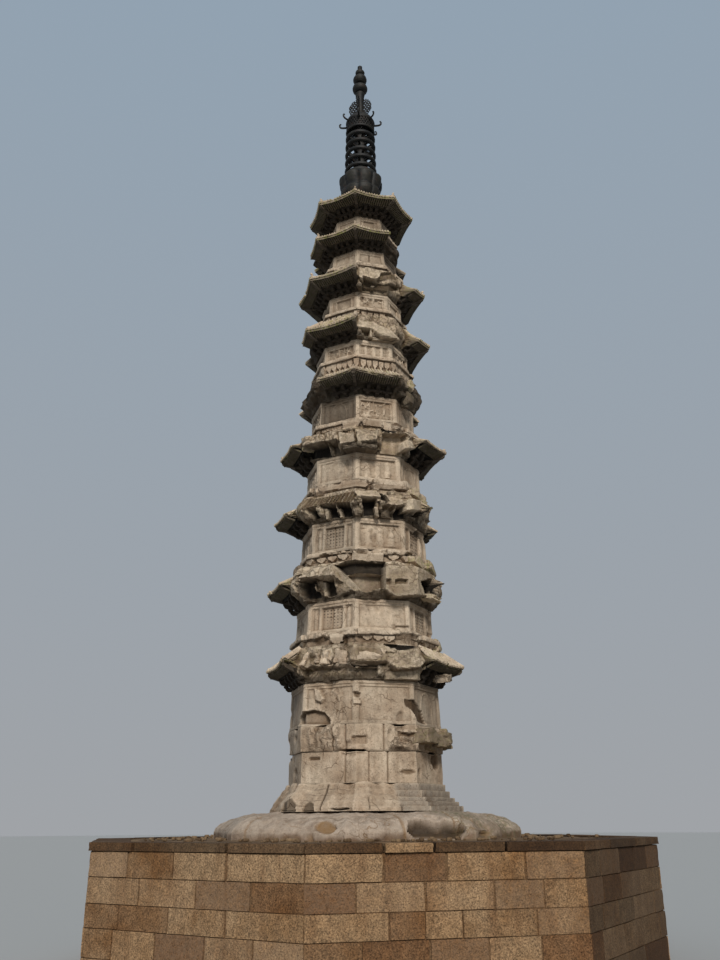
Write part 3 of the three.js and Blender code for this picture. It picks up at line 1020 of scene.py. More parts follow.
def mark_relief(
    marks: Iterable[Mark], azimuths: np.ndarray, radius: np.ndarray, heights: np.ndarray,
) -> tuple[np.ndarray, np.ndarray]:
    """The hollows of a course.

    Args:
        marks: The hollows.
        azimuths: Azimuths of the columns.
        radius: Corner radius of the points.
        heights: Heights of the points.

    Returns:
        How far each point is sunk, as negative metres, and how dark it is: dark joints, and painted shade in
        the hollows.
    """
    relief, dark = np.zeros(radius.shape), np.zeros(radius.shape)
    sides = np.broadcast_to(side_of(azimuths), radius.shape)
    across = across_side(azimuths, radius)
    for mark in marks:
        cover = mark.cover(sides, across, heights)
        relief = np.minimum(relief, -mark.depth * cover)
        dark = np.maximum(dark, cover)
    return relief, dark


@dataclass(frozen=True)
class Form:
    """A block, ledge or hollow of its own in a course, by its outline in azimuth and height.

    The surface inside the outline follows the octagon, at the corner radius `low` at the outline's
    foot and `high` at its top. Ribs are tile rolls, a pitch apart, that run over it at a slant.
    """

    name: str
    outline: tuple[tuple[float, float], ...]
    low: float
    high: float
    soot: float = 0.0
    hollow: float = 0.0
    tone: float = 0.0
    rough: float = 1.0
    soft: float = 0.012
    ribs: float = 0.0

    def cover(self, azimuths: np.ndarray, heights: np.ndarray) -> np.ndarray:
        """How much of each point is inside the outline.

        Args:
            azimuths: Azimuths of the columns.
            heights: Heights of the points.

        Returns:
            Numbers from 0 to 1.
        """
        scale = math.radians(1.0) * (self.low + self.high) / 2
        x, y = wrapped(azimuths) * scale * np.ones(heights.shape), heights
        nearest, inside = np.full(heights.shape, 9.0), np.zeros(heights.shape, dtype=bool)
        corners = [(azimuth * scale, height) for azimuth, height in self.outline]
        for (x0, y0), (x1, y1) in zip(corners, corners[1:] + corners[:1]):
            along = np.clip(
                ((x - x0) * (x1 - x0) + (y - y0) * (y1 - y0)) / ((x1 - x0) ** 2 + (y1 - y0) ** 2), 0, 1,
            )
            nearest = np.minimum(nearest, np.hypot(x - x0 - along * (x1 - x0), y - y0 - along * (y1 - y0)))
            if y0 != y1:
                inside ^= ((y0 > y) != (y1 > y)) & (x < x0 + (x1 - x0) * (y - y0) / (y1 - y0))
        return smooth_step(-self.soft / 2, self.soft, np.where(inside, nearest, -nearest))

    def corner_radius(self, heights: np.ndarray) -> np.ndarray:
        """The form's corner radius at each height."""
        levels = [height for _, height in self.outline]
        part = np.clip((heights - min(levels)) / (max(levels) - min(levels)), 0, 1)
        return self.low + (self.high - self.low) * part


@dataclass
class Shaped:
    """A course's surface after its forms: radius, soot and painted shade, painted shade of hollows, tone and
    share of roughness.
    """

    radius: np.ndarray
    soot: np.ndarray
    hollow: np.ndarray
    tone: np.ndarray
    rough: np.ndarray

    @classmethod
    def build(
        cls, forms: Iterable[Form], azimuths: np.ndarray, radius: np.ndarray, heights: np.ndarray,
    ) -> "Shaped":
        """Lay the forms on a surface, in order.

        Args:
            forms: The forms.
            azimuths: Azimuths of the columns.
            radius: Distance of each point from the axis.
            heights: Heights of the points.

        Returns:
            The new surface.
        """
        blank = np.zeros(radius.shape)
        surface = cls(radius.copy(), blank.copy(), blank.copy(), blank.copy(), blank + 1)
        share = octagon_share(azimuths)
        for form in forms:
            cover = form.cover(azimuths, heights)
            surface.radius += cover * (form.corner_radius(heights) * share - surface.radius)
            for key in ("soot", "hollow", "tone", "rough"):
                layer = getattr(surface, key)
                layer += cover * (getattr(form, key) - layer)
            if form.ribs:
                along = (wrapped(azimuths) * math.radians(1.0) * form.low - 0.5 * heights) / form.ribs
                groove = cover * smooth_step(0.1, 0.75, 0.5 + 0.5 * np.cos(2 * math.pi * along))
                # Grooves between the rolls are sunk and get painted shade.
                surface.radius -= 0.035 * groove
                surface.hollow += 0.85 * groove * (1 - surface.hollow)
        return surface

    def stain_and_shade(self, layers: dict[str, np.ndarray]) -> None:
        """Add the forms' soot and painted shade, painted shade of hollows and tone to a course's layers."""
        layers["soot"] = np.maximum(layers["soot"] * np.clip(self.rough, 0, 1), self.soot)
        layers["hollow"] = np.maximum(layers["hollow"] * np.clip(self.rough + 0.3, 0, 1), self.hollow)
        layers["tone"] = layers["tone"] + self.tone


@dataclass
class Platform:
    """The octagonal platform: coursed sandstone blocks, coping stones and the fill between them."""

    radius: float = 3.95
    turn: float = -2.5
    wall: float = 0.42
    coping_height: float = 0.10
    coping_overhang: float = 0.035
    coping_width: float = 0.48
    courses: tuple[float, ...] = (-0.1, -0.369, -0.642, -0.892, -1.19, -1.5)
    joint: float = 0.0015
    block_depth: float = 0.36
    loose_stones: int = 260
    block_lengths: tuple[float, float] = (0.52, 0.95)
    coping_lengths: tuple[float, float] = (0.75, 1.35)
    # Joints that can be read on the front sides, as metres along the side, by course and side.
    joints: dict[tuple[int, int], tuple[float, ...]] = field(
        default_factory=lambda: {
            (0, 315): (-0.9, -0.22, 0.51),
            (0, 0): (-0.70, -0.04, 0.83),
            (1, 315): (-0.70, 0.12, 0.84),
            (1, 0): (-0.99, -0.27, 0.47, 1.02),
            (2, 315): (-0.98, -0.25, 0.53),
            (2, 0): (-0.65, -0.28, 0.11, 0.92),
            (3, 315): (-1.05, -0.42, 0.27, 0.90),
            (3, 0): (-0.93, -0.24, 0.38, 0.95),
        }
    )
    new_coping: tuple[float, float] = (-0.70, -0.17)

    def build(self, shop: Workshop) -> None:
        """Build the wall, the coping and the fill."""
        shop.copies(
            "platform_blocks", Finish.PLATFORM_STONE, self.block_places(), self.block_shapes("block"),
            ("platform_wall",),
        )
        self.backing(shop)
        shop.copies(
            "platform_coping_stones", Finish.PLATFORM_STONE, self.coping_places(),
            self.block_shapes("coping"), ("platform_coping",),
        )
        self.fill(shop)
        self.pebbles(shop)

    @property
    def apothem(self) -> float:
        """Distance of each side from the axis."""
        return self.radius * math.cos(HALF_TURN)

    def block_shapes(self, name: str) -> list[bpy.types.Object]:
        """Four squared stones with worn edges."""
        return [
            rough_stone(f"{name}_{k}", 40 + k, (6, 2, 5), 0.002 + 0.0015 * k, 0.004, 0.02) for k in range(4)
        ]

    def divided(self, half: float, lengths: tuple[float, float], rng: np.random.Generator) -> list[float]:
        """Joints along a side, with random stone lengths.

        Args:
            half: Half the side's length.
            lengths: Shortest and longest stone.
            rng: Source of the lengths.

        Returns:
            Places of the joints between the side's ends.
        """
        joints = []
        at = -half + rng.uniform(*lengths) * rng.uniform(0.5, 1.0)
        while at < half - lengths[0] * 0.6:
            joints.append(at)
            at += rng.uniform(*lengths)
        return joints

    def block_places(self) -> list[Place]:
        """Every block of the retaining wall."""
        rng = np.random.default_rng(11)
        half = self.radius * math.sin(HALF_TURN)
        places = []
        for course, (top, low) in enumerate(zip(self.courses[:-1], self.courses[1:])):
            for side in SIDE_AZIMUTHS:
                drawn = self.divided(half, self.block_lengths, rng)
                # Side 45, turned from the light, gets painted shade as soot; the other sides get a little
                # soot.
                dark = (0.45, 0.7) if side == 45 else (0.0, 0.12)
                ends = [-half, *self.joints.get((course, side), drawn), half]
                for start, end in zip(ends[:-1], ends[1:]):
                    size = (end - start - self.joint, self.block_depth, top - low - self.joint)
                    out = self.apothem - self.block_depth / 2 - rng.uniform(0.002, 0.016)
                    places.append(
                        place_on_side(
                            side + self.turn, (start + end) / 2, out, (top + low) / 2, size,
                            yaw=rng.uniform(-0.4, 0.4), tone=float(rng.uniform(-1.0, 0.9)),
                            kind=int(rng.integers(4)), soot=float(rng.uniform(*dark)),
                            moss=max(0.0, float(rng.uniform(-1.0, 1.0))),
                        )
                    )
        return places

    def coping_places(self) -> list[Place]:
        """Every coping stone, one newer and lighter than the rest."""
        rng = np.random.default_rng(19)
        half = (self.radius + self.coping_overhang) * math.sin(HALF_TURN)
        outer = (self.radius + self.coping_overhang) * math.cos(HALF_TURN)
        places = []
        for side in SIDE_AZIMUTHS:
            ends = [-half, *self.divided(half, self.coping_lengths, rng), half]
            if side == 0:
                ends = [-half, *self.new_coping, 0.62, half]
            for start, end in zip(ends[:-1], ends[1:]):
                is_new = side == 0 and start == self.new_coping[0]
                tall = self.coping_height - 0.004 - rng.uniform(0, 0.006)
                size = (end - start - 0.008, self.coping_width - 0.01, tall)
                out = outer - self.coping_width / 2 - (0.0 if is_new else rng.uniform(0.004, 0.03))
                places.append(
                    place_on_side(
                        side + self.turn, (start + end) / 2, out, -self.coping_height + 0.004 + tall / 2,
                        size, yaw=rng.uniform(-0.3, 0.3),
                        tone=0.5 if is_new else float(rng.uniform(-0.9, -0.1)),
                        soot=0.0 if is_new else float(rng.uniform(0.5, 0.8)),
                        kind=int(rng.integers(4)),
                    )
                )
        return places

    def backing(self, shop: Workshop) -> None:
        """The dark rubble core that shows in the open joints."""
        inner = self.radius - self.wall
        outer = self.radius - 0.031
        outline = [(inner, -PLATFORM_TOP), (outer, -PLATFORM_TOP), (outer, -0.102), (inner, -0.102)]
        points = course_points(profile_rows(outline, 0.12), station_azimuths(14, 12), self.turn)
        dark = np.ones(points.shape[:2])
        shop.rings(
            "platform_core", Finish.PLATFORM_STONE, points, {"soot": dark * 0.1, "hollow": dark * 0.55},
            is_tube=True,
        )

    def fill(self, shop: Workshop) -> None:
        """Packed rubble and earth, uneven on top."""
        inner = self.radius + self.coping_overhang - self.coping_width
        outline = [
            (3.52, -PLATFORM_TOP), (3.52, -0.11), (inner - 0.01, -0.1), (inner - 0.015, -0.02), (2.0, -0.006),
            (0.6, -0.006),
        ]
        rows = profile_rows(outline, 0.062)
        points = course_points(rows, station_azimuths(40, 24), self.turn)
        bumps = 0.014 * ROUGH.fractal(points, 0.35, 4) - 0.006
        points[..., 2] += np.where(rows[:, 1:2] > -0.05, bumps, 0)
        layers = weathering_and_shade(points, 0.0, 0.01)
        layers["moss"] = smooth_step(0.1, 0.6, ROUGH.fractal(points + 3, 0.8, 3)) * 0.5
        layers["worn"] = np.zeros(points.shape[:2])
        layers["tone"] = 0.8 * ROUGH.fractal(points + 8, 0.6, 4)
        shop.rings("platform_earth", Finish.PLATFORM_FILL, points, layers, ("platform_fill",))

    def pebbles(self, shop: Workshop) -> None:
        """Loose stones and clods that lie on the earth."""
        rng = np.random.default_rng(5)
        places = []
        for _ in range(self.loose_stones):
            azimuth = float(rng.uniform(0, 360))
            reach = float(rng.uniform(2.12, 3.3))
            size = float(rng.uniform(0.02, 0.075))
            places.append(
                place_on_side(
                    azimuth, 0.0, reach * float(octagon_share(np.array(azimuth))), -0.006 + size * 0.16,
                    (size * rng.uniform(0.9, 1.6), size, size * 0.7),
                    yaw=rng.uniform(0, 180), tone=float(rng.uniform(-1, 0.6)), kind=int(rng.integers(2)),
                )
            )
        shapes = [rough_stone(f"pebble_{k}", 70 + k, (3, 3, 3), 0.6, 0.2) for k in range(2)]
        shop.copies("platform_loose_stones", Finish.PLATFORM_FILL, places, shapes)


# Foot of the tower.


@dataclass
class TowerFoot:
    """The rounded slab, the stepped base, the plain waist and the top course under the tower."""

    slab_outline: tuple[tuple[float, float], ...] = (
        (2.19, -0.03), (2.188, 0.08), (2.16, 0.13), (2.09, 0.185), (1.97, 0.245), (1.75, 0.295), (1.5, 0.32),
        (1.2, 0.34),
    )
    steps: tuple[tuple[float, float], ...] = (
        (1.385, 0.33), (1.385, 0.395), (1.325, 0.395), (1.325, 0.45), (1.27, 0.45), (1.27, 0.505),
        (1.205, 0.505), (1.205, 0.59), (1.145, 0.59), (1.145, 0.68), (1.0, 0.684),
    )
    eroded: tuple[tuple[float, float], ...] = (
        (1.385, 0.33), (1.378, 0.365), (1.350, 0.41), (1.312, 0.45), (1.275, 0.49), (1.240, 0.53),
        (1.208, 0.565), (1.180, 0.60), (1.155, 0.635), (1.132, 0.68), (1.0, 0.684),
    )
    worn_ledges: tuple[float, ...] = (0.41, 0.47, 0.535, 0.61)
    slab_marks: tuple[Mark, ...] = (
        Mark(0, -0.09, 0.14, 0.03, 0.34, 0.03),
        Mark(0, 0.59, 0.16, 0.022, 0.4, 0.03),
        Mark(315, -0.62, 0.15, 0.02, 0.4, 0.025),
        Mark(45, 0.1, 0.15, 0.02, 0.4, 0.025),
        Mark(45, -0.45, 0.07, 0.3, 0.1, 0.03, Cut.OVAL),
        Mark(90, 0.2, 0.15, 0.02, 0.4, 0.025),
        Mark(135, -0.3, 0.15, 0.022, 0.4, 0.025),
        Mark(180, 0.25, 0.15, 0.02, 0.4, 0.03),
        Mark(225, 0.4, 0.15, 0.022, 0.4, 0.025),
        Mark(270, -0.2, 0.15, 0.02, 0.4, 0.025),
    )
    step_marks: tuple[Mark, ...] = (
        Mark(315, 0.03, 0.5, 0.016, 0.32, 0.02),
        Mark(315, 0.33, 0.36, 0.26, 0.04, 0.03, Cut.OVAL),
        Mark(0, -0.3, 0.42, 0.010, 0.16, 0.008),
        Mark(0, 0.13, 0.36, 0.010, 0.10, 0.010),
    )
    waist_marks: tuple[Mark, ...] = (
        Mark(315, 0.264, 0.89, 0.016, 0.42, 0.02),
        Mark(0, -0.24, 0.89, 0.014, 0.42, 0.016),
        Mark(0, 0.024, 0.89, 0.016, 0.42, 0.02),
        Mark(315, -0.22, 1.0, 0.17, 0.03, 0.035),
        Mark(45, 0.21, 0.98, 0.2, 0.2, 0.05, Cut.OVAL),
        Mark(0, 0.3, 0.82, 0.22, 0.05, 0.02, Cut.OVAL),
    )
    course_marks: tuple[Mark, ...] = (
        Mark(315, 0.09, 1.27, 0.018, 0.36, 0.025),
        Mark(315, 0.276, 1.27, 0.016, 0.36, 0.02),
        Mark(0, -0.033, 1.27, 0.018, 0.36, 0.025),
        Mark(45, -0.1, 1.31, 0.3, 0.12, 0.04, Cut.OVAL),
    )

    def build(self, shop: Workshop) -> None:
        """Build the four courses and the leftover stones."""
        self.slab(shop)
        self.stepped_base(shop)
        self.waist(shop)
        self.top_course(shop)
        self.leftover_stones(shop)

    def slab(self, shop: Workshop) -> None:
        """The wide slab, worn round at its edge."""
        azimuths = station_azimuths(80, 32)
        rows = profile_rows(self.slab_outline, 0.026)
        points = course_points(rows, azimuths)
        radius = np.broadcast_to(rows[:, :1], points.shape[:2])
        heights = np.broadcast_to(rows[:, 1:2], points.shape[:2])
        relief, dark = mark_relief(self.slab_marks, azimuths, radius, heights)
        rough = 0.020 * ROUGH.fractal(points, 0.5, 2) + 0.014 * ROUGH.fractal(points, 0.13, 3)
        chips = -0.05 * smooth_step(0.25, 0.7, BLOCKY.fractal(points, 0.42, 3))
        reach = np.linalg.norm(points[..., :2], axis=-1)
        surface = Shaped.build(FORMS["slab"], azimuths, reach, heights)
        points = pushed(
            points, 0.35 * relief + (rough + chips) * surface.rough - 0.008 + surface.radius - reach,
        )
        layers = weathering_and_shade(points, 0.35, 0.03)
        layers["hollow"] = np.maximum(layers["hollow"], dark * 0.85)
        layers["grey"] = smooth_step(-0.3, 0.5, ROUGH.fractal(points + 9, 0.9, 2)) * 0.3
        # The right of the slab gets moss and is darker: painted shade on the side turned from the light.
        right = smooth_step(12, 22, wrapped(azimuths)) * (1 - smooth_step(95, 110, wrapped(azimuths)))
        layers["moss"] = np.clip(right * (0.6 + 0.5 * ROUGH.fractal(points + 2, 0.3, 3)), 0, 1)
        top = smooth_step(0.3, 0.34, heights)
        dirt = 1 - smooth_step(0.0, 0.09, heights + 0.05 * ROUGH.fractal(points + 11, 0.3, 3))
        pale = 0.35 * smooth_step(0.1, 0.2, heights) - 0.5 * top + 0.4 * ROUGH.fractal(points + 5, 0.7, 3)
        layers["tone"] = pale - 0.45 * right - 1.1 * dirt
        surface.stain_and_shade(layers)
        shop.rings("base_slab_stone", Finish.RESTORED_STONE, points, layers, ("base_slab",))

    def stepped_base(self, shop: Workshop) -> None:
        """The steps, sharp where they were restored and worn to a slope elsewhere."""
        azimuths = station_azimuths(66, 28)
        sharp, worn = np.array(self.steps), np.array(self.eroded)
        rows_each = 6
        parts = np.arange((len(sharp) - 1) * rows_each + 1) / rows_each
        index = np.minimum(parts.astype(int), len(sharp) - 2)
        part = (parts - index)[:, None]
        sharp_rows = sharp[index] * (1 - part) + sharp[index + 1] * part
        worn_rows = worn[index] * (1 - part) + worn[index + 1] * part
        angle = wrapped(azimuths)
        restored = smooth_step(3, 8, angle) * (1 - smooth_step(70, 80, angle))
        restored = np.maximum(restored, 0.75 * smooth_step(100, 120, angle))
        wear = (1 - restored) * np.clip(0.97 + 0.3 * ROUGH.value(polar(1.3, azimuths, 0.5), 0.5), 0.6, 1)
        base = course_points(sharp_rows, azimuths)
        base = base * (1 - wear[None, :, None]) + course_points(worn_rows, azimuths) * wear[None, :, None]
        reach, heights = np.linalg.norm(base[..., :2], axis=-1), base[..., 2] - PLATFORM_TOP
        relief, dark = mark_relief(self.step_marks, azimuths, reach / octagon_share(azimuths), heights)
        for ledge in self.worn_ledges:
            line = bar(heights - ledge - 0.014 * ROUGH.value(base, 0.25), 0.005)
            line = line * wear * smooth_step(-0.4, 0.2, ROUGH.value(base + 5, 0.4))
            relief, dark = relief - 0.005 * line, np.maximum(dark, 0.45 * line)
        rough = (0.012 + 0.05 * wear) * ROUGH.fractal(base, 0.22, 3) - 0.012 * wear
        surface = Shaped.build(FORMS["steps"], azimuths, reach, heights)
        points = pushed(base, relief + rough * 0.6 * surface.rough + surface.radius - reach)
        layers = weathering_and_shade(points, 0.5, 0.022)
        layers["hollow"] = np.maximum(layers["hollow"], dark)
        layers["soot"] = np.maximum(layers["soot"], dark * 0.8)
        layers["grey"] = np.broadcast_to(restored * 0.65, points.shape[:2])
        layers["tone"] = 0.35 * ROUGH.fractal(points + 4, 0.5, 3) - 0.15 - 0.35 * (angle < -HALF_SIDE)
        surface.stain_and_shade(layers)
        shop.rings("stepped_base_stone", Finish.WHITE_STONE, points, layers, ("stepped_base",))

    def waist(self, shop: Workshop) -> None:
        """The plain waist with its joints and its slot."""
        rows = profile_rows([(1.05, 0.676), (1.112, 0.68), (1.112, 1.09), (1.05, 1.094)], 0.02)
        self.plain_course(shop, "base_waist_stone", rows, self.waist_marks, (), "base_waist", 0.006)

    def top_course(self, shop: Workshop) -> None:
        """The top course with its socket."""
        outline = [(1.06, 1.086), (1.128, 1.09), (1.135, 1.11), (1.135, 1.40), (1.128, 1.435), (1.06, 1.444)]
        rows = profile_rows(outline, 0.018)
        self.plain_course(
            shop, "base_top_stone", rows, self.course_marks, FORMS["top course"], "base_top_course", 0.011,
        )

    def plain_course(
        self, shop: Workshop, name: str, rows: np.ndarray, marks: Sequence[Mark], forms: Sequence[Form],
        node: str,
        roughness: float,
    ) -> None:
        """A course of smooth blocks.

        Args:
            shop: Takes the piece.
            name: Name of the piece.
            rows: Corner radius and height of each row.
            marks: Its joints and hollows.
            forms: Its blocks of their own.
            node: The node that it stands for.
            roughness: Height of its bumps.
        """
        azimuths = station_azimuths(70, 24)
        points = course_points(rows, azimuths)
        radius = np.broadcast_to(rows[:, :1], points.shape[:2])
        heights = np.broadcast_to(rows[:, 1:2], points.shape[:2])
        relief, dark = mark_relief(marks, azimuths, radius, heights)
        chips = smooth_step(0.35, 0.75, BLOCKY.fractal(points, 0.3, 3))
        rough = roughness * ROUGH.fractal(points, 0.3, 3) - 0.03 * chips
        reach = np.linalg.norm(points[..., :2], axis=-1)
        surface = Shaped.build(forms, azimuths, reach, heights)
        bumps, creases = lumps(points, 0.17)
        ragged = np.clip(surface.rough - 1, 0, 1)
        rough = rough * np.minimum(surface.rough, 1) + 0.06 * bumps * ragged
        points = pushed(points, relief + rough + surface.radius - reach)
        layers = weathering_and_shade(points, 0.6, 0.025)
        # Creases in the rough blocks get painted shade.
        layers["hollow"] = np.maximum(layers["hollow"], creases * ragged * 0.5)
        layers["broken"] = ragged
        layers["hollow"] = np.maximum(layers["hollow"], dark * 0.9)
        layers["tone"] = 0.45 * ROUGH.fractal(points + 4, 0.45, 3) - 0.25
        layers["grey"] = left_grey(azimuths, points, 0.5)
        surface.stain_and_shade(layers)
        shop.rings(name, Finish.WHITE_STONE, points, layers, (node,))

    def leftover_stones(self, shop: Workshop) -> None:
        """Ragged stones of the lost lower eaves that still stick out on the right."""
        rows = (
            (45, -0.30, 1.10, 1.29, (0.34, 0.30, 0.20), 4, 0),
            (45, 0.06, 1.08, 1.25, (0.36, 0.32, 0.17), -5, 1),
            (45, 0.33, 1.06, 1.31, (0.26, 0.30, 0.16), 6, 2),
            (90, -0.25, 1.06, 1.27, (0.40, 0.30, 0.20), 3, 0),
            (90, 0.12, 1.05, 1.24, (0.32, 0.28, 0.15), -4, 1),
        )
        places = [
            place_on_side(
                side, across, out, height, size, yaw=yaw, soot=0.35, tone=-0.6, moss=0.25, kind=kind,
            )
            for side, across, out, height, size, yaw, kind in rows
        ]
        shapes = [rough_stone(f"leftover_{k}", 90 + k, (12, 8, 7), 0.08, 0.08, 0.16) for k in range(3)]
        shop.copies("base_leftover_stones", Finish.WHITE_STONE, places, shapes)


# Storeys.


@dataclass(frozen=True)
class StoreySize:
    """Heights and corner radii of one storey, as in the part."""

    foot: float
    top: float
    low: float
    high: float
    tip: float
    tip_top: float
    deck: float
    deck_top: float


STOREYS = (
    StoreySize(1.440, 2.020, 1.112, 1.080, 1.475, 2.320, 1.170, 2.520),
    StoreySize(2.720, 3.175, 1.042, 1.019, 1.500, 3.517, 1.110, 3.720),
    StoreySize(3.923, 4.410, 0.980, 0.962, 1.425, 4.650, 1.050, 4.840),
    StoreySize(5.041, 5.473, 0.914, 0.900, 1.356, 5.770, 0.980, 5.900),
    StoreySize(6.062, 6.488, 0.850, 0.835, 1.250, 6.760, 0.905, 6.940),
    StoreySize(7.225, 7.525, 0.776, 0.765, 1.155, 7.745, 0.830, 7.990),
    StoreySize(8.174, 8.487, 0.686, 0.675, 1.100, 8.755, 0.755, 8.940),
    StoreySize(9.098, 9.388, 0.645, 0.593, 0.985, 9.625, 0.670, 9.730),
    StoreySize(9.850, 10.137, 0.560, 0.526, 0.930, 10.395, 0.380, 10.710),
)


@dataclass(frozen=True)
class Break:
    """A stretch that is broken back, by azimuth, the share of the overhang left and how black it is with soot
    and painted shade.
    """

    start: float
    end: float
    keep: float
    soot: float = 0.0


def kept(breaks: Iterable[Break], azimuths: np.ndarray, seed: float) -> np.ndarray:
    """The share of an overhang that is left at each azimuth.

    Args:
        breaks: The broken stretches.
        azimuths: Azimuths of the columns.
        seed: Shifts the ragged ends of the breaks.

    Returns:
        1 where nothing is broken.
    """
    line = polar(1.5, azimuths, np.full(azimuths.shape, seed))
    ragged = wrapped(azimuths + 2.2 * ROUGH.value(line, 0.16))
    share = np.ones(azimuths.shape)
    for gap in breaks:
        uneven = gap.keep * (1 + 0.25 * ROUGH.value(line + 7, 0.35))
        share = np.where((ragged >= gap.start) & (ragged <= gap.end), uneven, share)
    return share


def break_soot_and_shade(breaks: Iterable[Break], azimuths: np.ndarray) -> np.ndarray:
    """How black the broken stretches are at each azimuth, with soot and painted shade."""
    dark = np.zeros(azimuths.shape)
    for gap in breaks:
        dark = np.where(
            (wrapped(azimuths) >= gap.start - 2) & (wrapped(azimuths) <= gap.end + 2), gap.soot, dark,
        )
    return dark


class Carving(Enum):
    """What is carved on one side of a storey's wall."""

    PLAIN = "plain"
    PANEL = "panel"
    STUDDED_DOOR = "studded door"
    FIGURES = "figures"
    SCROLLS = "scrolls"
    WORN_ARCH = "worn arch"


def bar(distance: np.ndarray, half_width: float, soft: float = 0.008) -> np.ndarray:
    """1 within half a width of a line, and 0 outside it."""
    return 1 - smooth_step(half_width - soft / 2, half_width + soft / 2, np.abs(distance))


def box(
    x: np.ndarray, y: np.ndarray, left: float, right: float, low: float, high: float, soft: float = 0.01,
) -> np.ndarray:
    """1 inside an upright rectangle, and 0 outside it."""
    half = soft / 2
    across = smooth_step(left - half, left + half, x) * (1 - smooth_step(right - half, right + half, x))
    return across * smooth_step(low - half, low + half, y) * (1 - smooth_step(high - half, high + half, y))


def mound(
    x: np.ndarray, y: np.ndarray, middle_x: float, middle_y: float, half_x: float, half_y: float,
) -> np.ndarray:
    """A rounded mound from 1 in its middle to 0 at its edge."""
    reach = ((x - middle_x) / half_x) ** 2 + ((y - middle_y) / half_y) ** 2
    return np.sqrt(np.clip(1 - reach, 0, 1))


def figure_relief(x: np.ndarray, y: np.ndarray, middle: float, foot: float, tall: float) -> np.ndarray:
    """A small robed figure on a lotus foot with a round halo, in low relief.

    Args:
        x: Metres across the wall.
        y: Metres above the wall's foot.
        middle: Where the figure stands.
        foot: Height of its foot.
        tall: Height of the figure.

    Returns:
        How far the stone stands out, in metres.
    """
    halo = 0.008 * (mound(x, y, middle, foot + 0.84 * tall, 0.17 * tall, 0.17 * tall) > 0)
    head = 0.026 * mound(x, y, middle, foot + 0.85 * tall, 0.085 * tall, 0.105 * tall)
    chest = 0.028 * mound(x, y, middle, foot + 0.57 * tall, 0.17 * tall, 0.22 * tall)
    robe = 0.024 * mound(x, y, middle, foot + 0.30 * tall, 0.20 * tall, 0.32 * tall)
    lotus = 0.026 * mound(x, y, middle, foot + 0.05 * tall, 0.24 * tall, 0.07 * tall)
    return np.maximum.reduce([halo, head, chest, robe, lotus])


